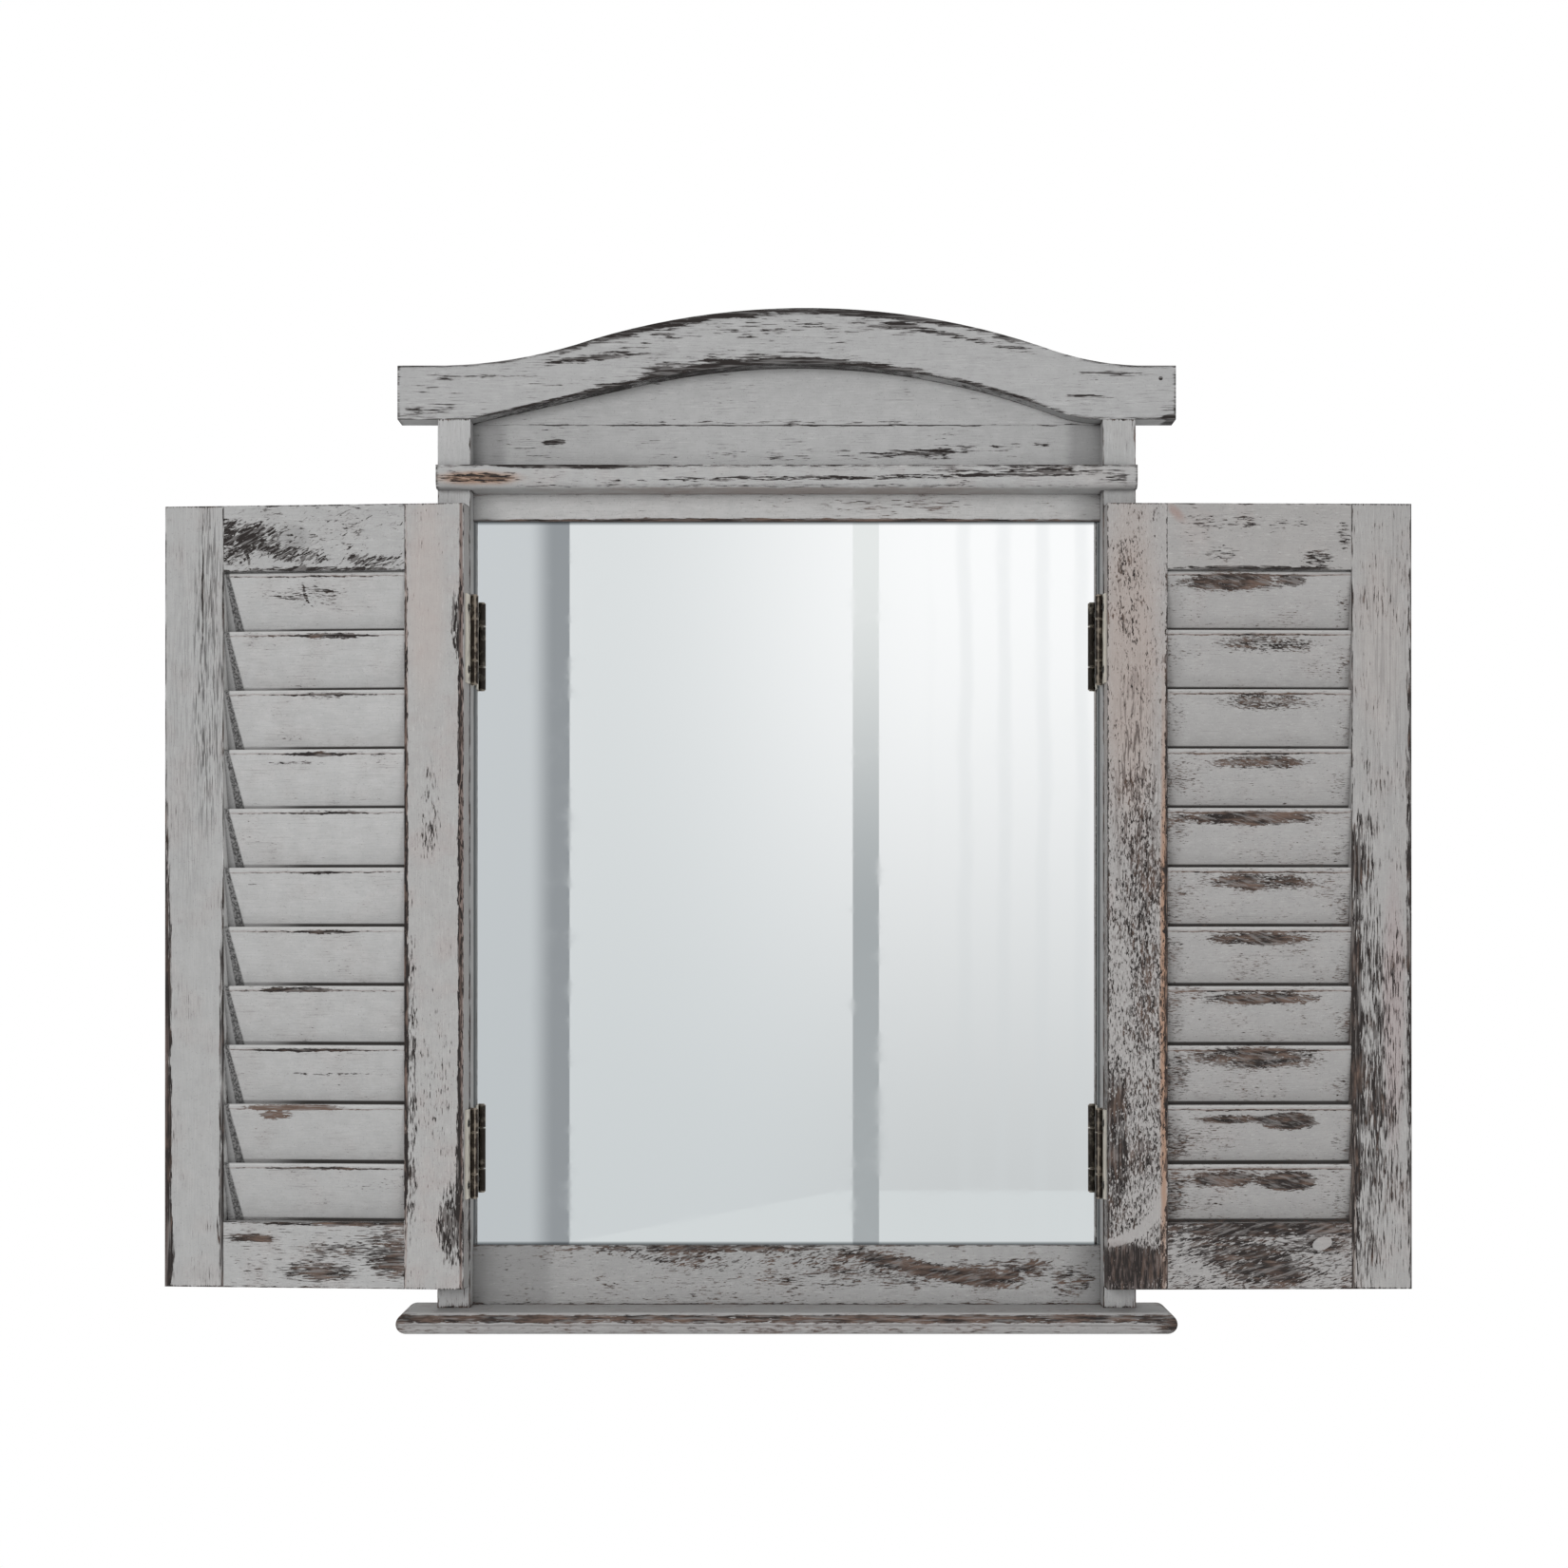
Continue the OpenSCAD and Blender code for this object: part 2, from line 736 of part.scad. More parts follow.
module hinge_pins() {
    color(old_brass) for (right = [false, true], z = hinge_heights)
        at_pin_line(right) translate([0, 0, z]) hinge_pin();
}

module shutter_screws(right) {
    color(old_brass) at_rest(right) shutter_screw_places() leaf_screw();
}

// ---- Shutters, drawn about the pin line of the left side, and closed ----

// A slat's section: a flat strip with rounded edges, tilted top inwards
module slat_section(grow) {
    rotate(-slat_tilt) {
        square([slat_t + 2 * grow, slat_core], center = true);
        for (side = [-1, 1]) translate([0, side * slat_core / 2]) circle(r = slat_t / 2 + grow);
    }
}

// Slat k, counted from the top, from x0 to x1
module slat_bar(k, x0, x1, grow) {
    level_bar(x0, x1)
        translate([slat_mid_y, top_slat_z - (k - 1) * slat_pitch]) slat_section(grow);
}

module slat(k) {
    color(slat_paint)
        slat_bar(k, field_x - housing_d + fit, field_x + field_w + housing_d - fit, 0);
}

module slat_housings(x0, x1) {
    for (k = [1 : slat_count]) slat_bar(k, x0, x1, fit);
}

// A shutter rail's tenons, or the mortises for them, which are larger by grow
module shutter_tenons(low, high, grow) {
    reach = shutter_tenon_l - fit + grow;
    box([field_x - reach, slat_mid_y - shutter_tenon_t / 2 - grow, low + shutter_shoulder - grow],
        [field_x + field_w + reach, slat_mid_y + shutter_tenon_t / 2 + grow,
         high - shutter_shoulder + grow]);
}

module stile_cuts() {
    shutter_tenons(shutter_z, field_z, fit);
    shutter_tenons(field_top, shutter_top, fit);
    slat_housings(field_x - housing_d, field_x + field_w + housing_d);
}

module inner_stile() {
    color(paint) difference() {
        box([knuckle_r, pin_stand, shutter_z], [field_x, pin_stand + shutter_t, shutter_top]);
        stile_cuts();
        shutter_screw_places() leaf_pilot();
    }
}

module outer_stile() {
    color(paint) difference() {
        box([field_x + field_w, pin_stand, shutter_z],
            [field_x + field_w + stile_w, pin_stand + shutter_t, shutter_top]);
        stile_cuts();
    }
}

// A rail from low to high, notched where the nearest slat laps it
module shutter_rail(low, high, k) {
    color(paint) difference() {
        union() {
            box([field_x, pin_stand, low], [field_x + field_w, pin_stand + shutter_t, high]);
            shutter_tenons(low, high, 0);
        }
        slat_bar(k, field_x - past, field_x + field_w + past, fit);
    }
}

module shutter_top_rail() {
    shutter_rail(field_top, shutter_top, 1);
}

module shutter_bottom_rail() {
    shutter_rail(shutter_z, field_z, slat_count);
}

// ---- Assembly ----

left_post();
right_post();
crown_board();
tympanum_upper_board();
tympanum_lower_board();
shelf_moulding();
top_rail();
bottom_rail();
sill();
mirror_glass();
back_panel();
glazing_points();
left_hanger_plate();
right_hanger_plate();
hanger_screws();
sill_screws();
crown_dowels();
post_leaf_at(false, true);  // left_upper_post_leaf
post_leaf_at(false, false);  // left_lower_post_leaf
post_leaf_at(true, true);  // right_upper_post_leaf
post_leaf_at(true, false);  // right_lower_post_leaf
post_leaf_screws();
hinge_pins();
at_rest(false) outer_stile();  // left_outer_stile
at_rest(false) inner_stile();  // left_inner_stile
at_rest(false) shutter_top_rail();  // left_shutter_top_rail
at_rest(false) shutter_bottom_rail();  // left_shutter_bottom_rail
shutter_leaf_at(false, true);  // left_upper_shutter_leaf
shutter_leaf_at(false, false);  // left_lower_shutter_leaf
shutter_screws(false);  // left_shutter_screws
at_rest(true) outer_stile();  // right_outer_stile
at_rest(true) inner_stile();  // right_inner_stile
at_rest(true) shutter_top_rail();  // right_shutter_top_rail
at_rest(true) shutter_bottom_rail();  // right_shutter_bottom_rail
shutter_leaf_at(true, true);  // right_upper_shutter_leaf
shutter_leaf_at(true, false);  // right_lower_shutter_leaf
shutter_screws(true);  // right_shutter_screws
for (k = [1 : slat_count]) {
    at_rest(false) slat(k);
    at_rest(true) slat(k);
}
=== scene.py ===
import math
import bpy
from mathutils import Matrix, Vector


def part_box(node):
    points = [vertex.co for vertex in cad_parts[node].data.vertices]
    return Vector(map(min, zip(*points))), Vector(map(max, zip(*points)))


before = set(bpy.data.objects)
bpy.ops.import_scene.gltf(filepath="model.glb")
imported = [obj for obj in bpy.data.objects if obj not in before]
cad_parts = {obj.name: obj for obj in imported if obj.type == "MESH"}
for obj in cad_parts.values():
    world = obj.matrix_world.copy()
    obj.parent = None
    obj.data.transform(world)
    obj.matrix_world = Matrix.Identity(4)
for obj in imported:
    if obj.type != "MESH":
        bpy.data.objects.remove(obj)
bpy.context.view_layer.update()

MM = 0.001

# ---- Camera: place in metres, and the image's centre and focal length in pixels ----
CAMERA_AT = (0.0025, -1.6743, -0.2296)
CAMERA_TILT = math.radians(0.209)
FOCAL_PX = 3340.1
IMAGE_PX = 1650
CENTRE_PX = (832.9, 970.4)
SENSOR_MM = 36.0

# ---- Where each shutter turns, in metres, and how far past straight open it rests ----
PIN_X = 0.1623
PIN_Y = -0.0265
REST_ANGLE = {"left": -math.radians(5.5), "right": math.radians(1.5)}
SLATS = 11

# ---- How far from a hinge pin's axis the knuckle ends and plain leaf starts, in metres ----
KNUCKLE_EDGE = 0.0024
LEAF_START = 0.0032

# ---- Half the mirror's sight size, and the height of its middle, in metres ----
MIRROR_HALF_WIDTH = 0.1645
MIRROR_HALF_HEIGHT = 0.19
MIRROR_MIDDLE_Z = -0.203

# ---- Centres of the crown's top arc and of the soffit's arc, in millimetres ----
TOP_ARC = (10, 96 - 385.6)
SOFFIT_ARC = (6, 67 - 364.4)

# ---- Studio: the floor's height, the mirrored wall's place, and the light all round ----
FLOOR_Z = -1.3
WALL_Y = -3.0
SKY_STRENGTH = 0.42


def grey(level):
    return (level, level, level, 1)


# ---- Colours, linear ----
GREY_PAINT = (0.395, 0.395, 0.393, 1)
PINK_PAINT = (0.4, 0.355, 0.342, 1)
# Pale chalky streaks in the paint, and the painted highlight on the slats' top edges
CHALK_AND_HIGHLIGHT = (0.62, 0.62, 0.61, 1)
THIN_PAINT = (0.12, 0.105, 0.1, 1)
SPECK = (0.14, 0.135, 0.13, 1)
HAIRLINE = (0.06, 0.055, 0.052, 1)
# Dark grey for corners and recesses: soiling together with painted shade
RECESS_GRIME_AND_SHADE = (0.09, 0.085, 0.08, 1)
CHARCOAL = (0.024, 0.02, 0.019, 1)
PORE = (0.012, 0.01, 0.009, 1)
BROWN = (0.15, 0.104, 0.084, 1)
RUST = (0.3, 0.17, 0.1, 1)
WHITE = grey(1)


class Tree:
    """A node tree. Every call adds nodes and gives the new output."""

    def __init__(self, tree):
        self.tree = tree

    def node(self, kind, inputs=(), output=0, **settings):
        made = self.tree.nodes.new(kind)
        for name, value in settings.items():
            setattr(made, name, value)
        for key, value in dict(inputs).items():
            self.feed(made.inputs[key], value)
        return made.outputs[output]

    def feed(self, socket, value):
        if isinstance(value, bpy.types.NodeSocket):
            self.tree.links.new(value, socket)
        else:
            socket.default_value = value

    def maths(self, operation, *values):
        return self.node("ShaderNodeMath", enumerate(values), operation=operation)

    def add(self, *values):
        total = values[0]
        for value in values[1:]:
            total = self.maths("ADD", total, value)
        return total

    def between(self, value, low, high, start=0.0, end=1.0):
        """start below low, end above high, and a smooth step between them."""
        inputs = {"Value": value, "From Min": low, "From Max": high, "To Min": start, "To Max": end}
        return self.node("ShaderNodeMapRange", inputs, interpolation_type="SMOOTHSTEP")

    def mix(self, share, first, second):
        inputs = {0: share, 6: first, 7: second}
        return self.node("ShaderNodeMix", inputs, output=2, data_type="RGBA")

    def place(self, vector, location=(0, 0, 0), rotation=(0, 0, 0), scale=(1, 1, 1), kind="POINT"):
        """A vector scaled, turned and moved. kind TEXTURE undoes the same move, turn and scale."""
        inputs = {"Vector": vector, "Location": location, "Rotation": rotation, "Scale": scale}
        return self.node("ShaderNodeMapping", inputs, vector_type=kind)

    def noise(self, vector, scale, detail=2.0, roughness=0.5, distortion=0.0):
        inputs = {"Vector": vector, "Scale": scale, "Detail": detail, "Roughness": roughness,
                  "Distortion": distortion}
        return self.node("ShaderNodeTexNoise", inputs)

    def occlusion(self, distance, inside):
        inputs = {"Distance": distance}
        return self.node("ShaderNodeAmbientOcclusion", inputs, output=1, inside=inside,
                         only_local=inside, samples=6)

    def position(self):
        return self.node("ShaderNodeTexCoord", output=3)

    def seen_directly(self):
        """1 for what the camera, a mirror or a view through glass meets, and 0 for other light."""
        path = self.node("ShaderNodeLightPath")
        rays = self.maths("MAXIMUM", path, path.node.outputs["Is Glossy Ray"])
        return self.maths("MAXIMUM", rays, path.node.outputs["Is Transmission Ray"])


class Shader(Tree):
    """One material's tree."""

    def __init__(self, name):
        self.material = bpy.data.materials.new(name)
        self.material.use_nodes = True
        super().__init__(self.material.node_tree)
        self.surface = self.tree.nodes["Principled BSDF"]

    def set(self, **inputs):
        """Sets the surface's inputs, with _ for each space in their names."""
        for name, value in inputs.items():
            self.feed(self.surface.inputs[name.replace("_", " ")], value)

    def show(self, shader):
        """Puts another shader in the surface's place."""
        self.feed(self.tree.nodes["Material Output"].inputs[0], shader)
        return self.material


# ---- Painted wood ----

def own_box(node, side):
    """The lowest and highest corners of a board, along its own shutter if it is on one."""
    spots = [vertex.co.copy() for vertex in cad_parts[node].data.vertices]
    if side:
        sign = -1 if side == "left" else 1
        cos, sin = math.cos(REST_ANGLE[side]), math.sin(REST_ANGLE[side])
        for spot in spots:
            x, y = spot.x - sign * PIN_X, spot.y - PIN_Y
            spot.x, spot.y = sign * (x * cos + y * sin), y * cos - x * sin
    by_axis = list(zip(*spots))
    return [min(along) for along in by_axis], [max(along) for along in by_axis]


class Wood(Shader):
    """Grey paint over dark wood. u runs across the part and v up it, in metres.

    On the frame u is X. On a shutter it is the distance from the pin line.
    """

    def __init__(self, node, grain, side=None, seed=0.0):
        super().__init__(node + "_paint")
        spot = self.position()
        if side:
            sign = -1 if side == "left" else 1
            pin = (sign * PIN_X, PIN_Y, 0)
            spot = self.place(spot, pin, (0, 0, REST_ANGLE[side]), kind="TEXTURE")
            spot = self.place(spot, scale=(sign, 1, 1))
        self.spot = spot
        self.u = self.node("ShaderNodeSeparateXYZ", {0: spot})
        self.depth, self.v = self.u.node.outputs[1], self.u.node.outputs[2]
        self.flat = self.node("ShaderNodeCombineXYZ", {0: self.u, 1: self.v})
        self.loose = self.ragged((7.0, 1.6) if grain == "x" else (1.6, 7.0))
        self.seed = seed
        self.grain = grain
        self.low, self.high = own_box(node, side)

    def faces_front(self):
        """1 on what faces the front with the shutters open, and 0 on the other side."""
        normal = self.node("ShaderNodeTexCoord", output=1)
        toward = self.node("ShaderNodeSeparateXYZ", {0: normal}).node.outputs[1]
        return self.between(toward, -0.3, -0.1, 1.0, 0.0)

    def ragged(self, reach):
        """The flat place, pushed about by a soft noise, in millimetres, so that marks get ragged."""
        soft = {"Vector": self.spot, "Scale": 95, "Detail": 3.0}
        push = self.node("ShaderNodeTexNoise", soft, output=1)
        back = self.place(self.flat, [-0.5 * size * MM for size in reach] + [0])
        size = [size * MM for size in reach] + [0]
        return self.node("ShaderNodeVectorMath", {0: push, 1: size, 2: back}, operation="MULTIPLY_ADD")

    def box_edge(self):
        """How far a point of a box-shaped board is from the nearest edge between two of its faces."""
        inward = []
        for axis, low, high in zip((self.u, self.depth, self.v), self.low, self.high):
            off = self.maths("ABSOLUTE", self.maths("SUBTRACT", axis, (low + high) / 2))
            inward.append(self.maths("SUBTRACT", (high - low) / 2, off))
        least = self.maths("MINIMUM", inward[0], inward[1])
        most = self.maths("MAXIMUM", inward[0], inward[1])
        return self.maths("MAXIMUM", least, self.maths("MINIMUM", most, inward[2]))

    def streaks(self, fineness, length, angle=0.0, detail=4.0, warp=0.0):
        """Noise drawn out along the grain, or at an angle to it."""
        along = {"x": (1 / length, 1, 1), "z": (1, 1, 1 / length)}[self.grain]
        turned = self.place(self.spot, (self.seed, self.seed * 0.7, self.seed * 1.3), (0, angle, 0))
        return self.noise(self.place(turned, scale=along), fineness, detail, 0.62, warp)

    def blob(self, u, v, ru, rv, strength, angle=0.0, core=0.35):
        """A soft oval, in millimetres."""
        flat = self.flat if core > 0.5 else self.loose
        local = self.place(flat, (u * MM, v * MM, 0), (0, 0, angle), (ru * MM, rv * MM, 1), "TEXTURE")
        far = self.node("ShaderNodeVectorMath", {0: local}, output=1, operation="LENGTH")
        return self.between(far, core, 1.0, strength, 0.0)

    def band(self, low, high, strength):
        """A ragged level band, in millimetres."""
        height = self.node("ShaderNodeSeparateXYZ", {0: self.loose}).node.outputs[1]
        over = self.between(height, (low - 0.6) * MM, (low + 0.6) * MM, 0.0, strength)
        under = self.between(height, (high - 0.6) * MM, (high + 0.6) * MM, 1.0, 0.0)
        return self.maths("MULTIPLY", over, under)

    def ring(self, u, v, radius, width, strength, u_low, u_high):
        """A soft band along a circle, in millimetres, between two places across the part."""
        local = self.place(self.flat, (u * MM, v * MM, 0), kind="TEXTURE")
        far = self.node("ShaderNodeVectorMath", {0: local}, output=1, operation="LENGTH")
        off = self.maths("ABSOLUTE", self.maths("SUBTRACT", far, radius * MM))
        band = self.between(off, 0.3 * width * MM, width * MM, strength, 0.0)
        after = self.between(self.u, (u_low - 8) * MM, (u_low + 8) * MM)
        before = self.between(self.u, (u_high - 8) * MM, (u_high + 8) * MM, 1.0, 0.0)
        return self.maths("MULTIPLY", band, self.maths("MULTIPLY", after, before))

    def slope(self, axis, low, high, start, end):
        """Changes smoothly from one place to another, in millimetres."""
        return self.between(axis, low * MM, high * MM, start, end)

    def painted_shade_at_ends(self, near, far, strength, level):
        """Painted shade that darkens both ends of a level board, by the posts, from near to far in
        millimetres.
        """
        return self.slope(self.maths("ABSOLUTE", self.u), near, far, 0.0, strength), grey(level)

    def worn(self, noise, amount):
        """Where the paint is rubbed through, and where it is only thin."""
        most = self.maths("MINIMUM", amount, 0.86)
        level = self.add(noise, self.maths("MULTIPLY", most, 0.5))
        return self.between(level, 0.756, 0.774), self.between(level, 0.685, 0.775)

    def rubbed_edges(self, boxed, width, strength):
        """Wear on the sharp edges: measured on a board with a box's shape, and felt for on others."""
        if boxed:
            return self.between(self.box_edge(), 0.1 * MM, width * MM, strength, 0.0)
        return self.between(self.occlusion(width * 1.6 * MM, True), 0.97, 0.6, 0.0, strength)

    def painted(self, paint, pink, hair, cloud, patchy, grain, fine):
        """The paint itself: a pink cast, brush lines, clouds, chalk, specks and hairlines."""
        tint = self.maths("MULTIPLY", self.between(cloud, 0.45, 0.68), pink)
        colour = self.mix(tint, paint, PINK_PAINT)
        colour = self.mix(self.between(fine, 0.35, 0.7, 0.0, 0.16), colour, grey(0.24))
        cloudy = self.between(self.noise(self.spot, 120, 4, 0.65), 0.35, 0.65, 0.0, 0.14)
        colour = self.mix(cloudy, colour, grey(0.2))
        colour = self.mix(self.between(grain, 0.3, 0.44, 0.24, 0.0), colour, CHALK_AND_HIGHLIGHT)
        specks = self.between(self.noise(self.spot, 1300, 2, 0.6), 0.6, 0.72, 0.0, 0.34)
        colour = self.mix(specks, colour, SPECK)
        hairs = self.maths("ADD", self.streaks(2300, 34, detail=3), patchy)
        return self.mix(self.between(hairs, 0.63, 0.7, 0.0, hair), colour, HAIRLINE)

    def bare_wood(self, cloud, fine, brown):
        """Dark old wood, browner in patches, with fine pores."""
        earth = self.maths("ADD", self.maths("MULTIPLY", self.streaks(420, 6), 0.7),
                           self.maths("MULTIPLY", cloud, 0.3))
        wood = self.mix(self.between(self.add(earth, brown), 0.72, 0.95), CHARCOAL, BROWN)
        return self.mix(self.between(fine, 0.4, 0.75, 0.0, 0.45), wood, PORE)

    def relief(self, bare, fine, grain):
        """Fine grain, lower where the paint is gone, over softened edges."""
        height = self.add(self.maths("MULTIPLY", bare, -0.7), self.maths("MULTIPLY", fine, 0.35),
                          self.maths("MULTIPLY", grain, 0.35))
        soft = self.node("ShaderNodeBevel", {"Radius": 0.0007}, samples=4)
        return self.node("ShaderNodeBump", {"Strength": 0.55, "Distance": 0.00035, "Height": height,
                                            "Normal": soft})

    def finish(self, paint, wear, slant=None, stains=(), pink=0.3, brown=0.35, rim=0.5,
               boxed=True, rim_width=1.3, warp=0.0, fineness=1250, length=8, slant_angle=0.3,
               recess_grime_and_shade=0.4, hair=0.3):
        """Joins paint, worn grain, slanted scratches, stains, and soiling with painted shade in
        recesses into one surface.
        """
        cloud = self.noise(self.place(self.spot, (self.seed, 0, self.seed)), 45, 3, 0.6)
        patchy = self.maths("MULTIPLY", self.maths("SUBTRACT", cloud, 0.5), 0.4)
        grain = self.streaks(fineness, length, warp=warp)
        fine = self.streaks(2100, 26, detail=2)
        shade = self.occlusion(0.005, False)
        # More wear where occlusion finds a recess: partly worn paint, partly painted shade
        recess_wear_and_shade = self.between(shade, 0.7, 0.2, 0.0, 0.3)
        rubbed = self.rubbed_edges(boxed, rim_width, rim)
        bare, thin = self.worn(self.add(grain, patchy), self.add(*wear, rubbed, recess_wear_and_shade))
        if slant:
            cuts = self.streaks(fineness * 0.9, length * 0.7, slant_angle, warp=warp)
            cut, faint = self.worn(self.add(cuts, patchy), self.add(*slant))
            bare, thin = self.maths("MAXIMUM", bare, cut), self.maths("MAXIMUM", thin, faint)
        clinging = self.streaks(760, max(9, 1.4 * length), slant_angle if slant else 0.0, detail=3)
        bare = self.maths("MULTIPLY", bare, self.between(clinging, 0.38, 0.52, 0.45, 1.0))

        colour = self.painted(paint, pink, hair, cloud, patchy, grain, fine)
        colour = self.mix(self.maths("MULTIPLY", thin, 0.5), colour, THIN_PAINT)
        for share, tone in stains:
            colour = self.mix(share, colour, tone)
        # Darker grey in corners and recesses from occlusion: painted shade as well as soiling
        colour = self.mix(self.between(shade, 0.75, 0.2, 0.0, recess_grime_and_shade), colour, RECESS_GRIME_AND_SHADE)
        colour = self.mix(bare, colour, self.bare_wood(cloud, fine, brown))
        self.set(Base_Color=colour, Normal=self.relief(bare, fine, grain), Specular_IOR_Level=0.3,
                 Roughness=self.between(bare, 0.0, 1.0, 0.62, 0.86))
        return self.material


def dress(node, material):
    """Gives a CAD node one material."""
    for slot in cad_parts[node].material_slots:
        slot.link = "OBJECT"
        slot.material = material


def camera():
    data = bpy.data.cameras.new("camera")
    data.sensor_width = SENSOR_MM
    data.sensor_fit = "HORIZONTAL"
    data.lens = FOCAL_PX / IMAGE_PX * SENSOR_MM
    data.shift_x = (IMAGE_PX / 2 - CENTRE_PX[0]) / IMAGE_PX
    data.shift_y = (CENTRE_PX[1] - IMAGE_PX / 2) / IMAGE_PX
    made = bpy.data.objects.new("camera", data)
    made.location = CAMERA_AT
    made.rotation_euler = (math.pi / 2 + CAMERA_TILT, 0, 0)
    bpy.context.scene.collection.objects.link(made)
    bpy.context.scene.camera = made


# ---- Frame ----

def crown():
    wood = Wood("crown_board", "x", seed=1.7)
    wear = [
        0.09,
        wood.ring(*TOP_ARC, 384.4, 3.0, 0.44, -118, 122),
        wood.ring(*TOP_ARC, 381, 9, 0.27, -95, 80),
        wood.ring(*SOFFIT_ARC, 365.6, 2.4, 0.46, -72, 72),
        wood.ring(*SOFFIT_ARC, 368, 7, 0.2, -72, 60),
        wood.ring(*SOFFIT_ARC, 365.4, 2.2, 0.34, 80, 126),
        wood.blob(-117, 49.0, 52, 1.2, 0.5, 0.227, core=0.6),
        wood.blob(-92, 55.6, 30, 2.6, 0.34, 0.2),
        wood.blob(-186, 43, 20, 6, 0.36),
        wood.blob(-190, 54, 12, 4, 0.34),
        wood.blob(-165, 60, 34, 3, 0.34),
        wood.blob(-150, 69, 14, 2, 0.5),
        wood.blob(-105, 69.5, 34, 3.2, 0.46, 0.1),
        wood.blob(-45, 66, 60, 4, 0.27, 0.12),
        wood.blob(150, 74, 30, 2, 0.4, -0.2),
        wood.blob(170, 62, 30, 2.2, 0.5),
        wood.blob(160, 50, 24, 1.2, 0.4),
        wood.blob(-120, 56, 50, 1.2, 0.34),
        wood.blob(-55, 56, 60, 3, 0.3, 0.18),
        wood.blob(95, 80, 70, 2.6, 0.3, -0.2),
        wood.blob(10, 82, 70, 8, 0.2),
        wood.blob(194.6, 59.4, 1.2, 1.2, 1.4, core=0.7),
        wood.blob(200, 39, 6, 2.4, 0.8),
    ]
    rub = wood.ring(*TOP_ARC, 385.2, 4.4, 0.6, -100, 70)
    # Painted shade: a dark band along the soffit's edge, under the crown's arch
    under = wood.ring(*SOFFIT_ARC, 364.6, 2.4, 0.36, -72, 40)
    stains = [(rub, (0.115, 0.113, 0.112, 1)), (under, grey(0.13))]
    return wood.finish(grey(0.385), wear, stains=stains, pink=0.0, brown=0.03, rim=0.5,
                       boxed=False, length=14, hair=0.5, recess_grime_and_shade=0.3)


def tympanum_upper():
    wood = Wood("tympanum_upper_board", "x", seed=3.1)
    marks = [0.06, wood.blob(20, 39, 140, 1.1, 0.3), wood.blob(0, 60, 60, 8, 0.1)]
    shade = wood.painted_shade_at_ends(142, 160, 0.45, 0.12)
    return wood.finish(grey(0.43), marks, stains=[shade], pink=0.0, brown=0.0, rim=0.25, length=11)


def tympanum_lower():
    wood = Wood("tympanum_lower_board", "x", seed=4.4)
    marks = [0.08, wood.blob(-121, 28.5, 9, 1.8, 0.75), wood.blob(30, 22, 130, 5, 0.2),
             wood.blob(92, 24.5, 76, 3.6, 0.3, 0.056), wood.blob(0, 37.3, 170, 0.7, 0.55)]
    shade = wood.painted_shade_at_ends(144, 152, 0.42, 0.1)
    return wood.finish(grey(0.42), marks, stains=[shade], pink=0.0, brown=0.05, rim=0.2, length=11)


def shelf():
    wood = Wood("shelf_moulding", "x", seed=5.2)
    marks = [0.14, wood.blob(-110, 12.3, 60, 2.2, 0.75), wood.blob(-160, 6.5, 30, 4.5, 0.62),
             wood.blob(118, 9.5, 64, 3.6, 0.36), wood.blob(20, 6.2, 165, 1.7, 0.44, 0.012),
             wood.blob(0, 2.2, 190, 1.2, 0.28), wood.blob(172, 7, 8, 5, 0.36)]
    rust = (wood.blob(-160, 6, 30, 5, 0.75), RUST)
    foot = (wood.blob(0, 0.6, 185, 1.2, 0.5), (0.16, 0.1, 0.075, 1))
    return wood.finish(GREY_PAINT, marks, stains=[rust, foot], pink=0.25, brown=0.14, rim=0.5,
                       boxed=False, length=10, fineness=1450)


def top_rail():
    wood = Wood("top_rail", "x", seed=6.6)
    marks = [0.12, wood.blob(0, -12.4, 175, 1.3, 0.8), wood.blob(40, -5, 120, 5, 0.16)]
    shade = wood.painted_shade_at_ends(146, 158, 0.25, 0.12)
    edge = (wood.band(-13.8, -12.2, 0.75), (0.045, 0.032, 0.027, 1))
    # A lighter grey than the other boards: painted light against the shade under the shelf
    return wood.finish((0.48, 0.478, 0.474, 1), marks, stains=[shade, edge], pink=0.15, brown=0.35,
                       rim=0.3, length=9)


def bottom_rail():
    wood = Wood("bottom_rail", "x", seed=7.9)
    marks = [0.2, wood.blob(110, -407, 40, 10, 0.3), wood.blob(-40, -395, 100, 2.5, 0.5),
             wood.blob(40, -410, 90, 8, 0.22), wood.blob(150, -412, 16, 12, 0.3)]
    slant = [0.1, wood.blob(-60, -399, 60, 8, 0.42, -0.1), wood.blob(30, -402, 84, 11, 0.34, -0.12),
             wood.blob(66, -404, 56, 6, 0.4, -0.22), wood.blob(100, -410, 38, 7, 0.5, -0.15),
             wood.blob(127, -405, 20, 5, 0.45, 0.3)]
    # Painted shade at both ends of the rail, by the posts
    left = (wood.slope(wood.u, -128, -120, 0.42, 0.0), grey(0.16))
    right = (wood.slope(wood.u, 142, 162, 0.0, 0.3), grey(0.1))
    return wood.finish((0.35, 0.348, 0.345, 1), marks, slant, [left, right], pink=0.1, brown=0.32,
                       rim=0.3, length=6, fineness=1500, slant_angle=0.28)


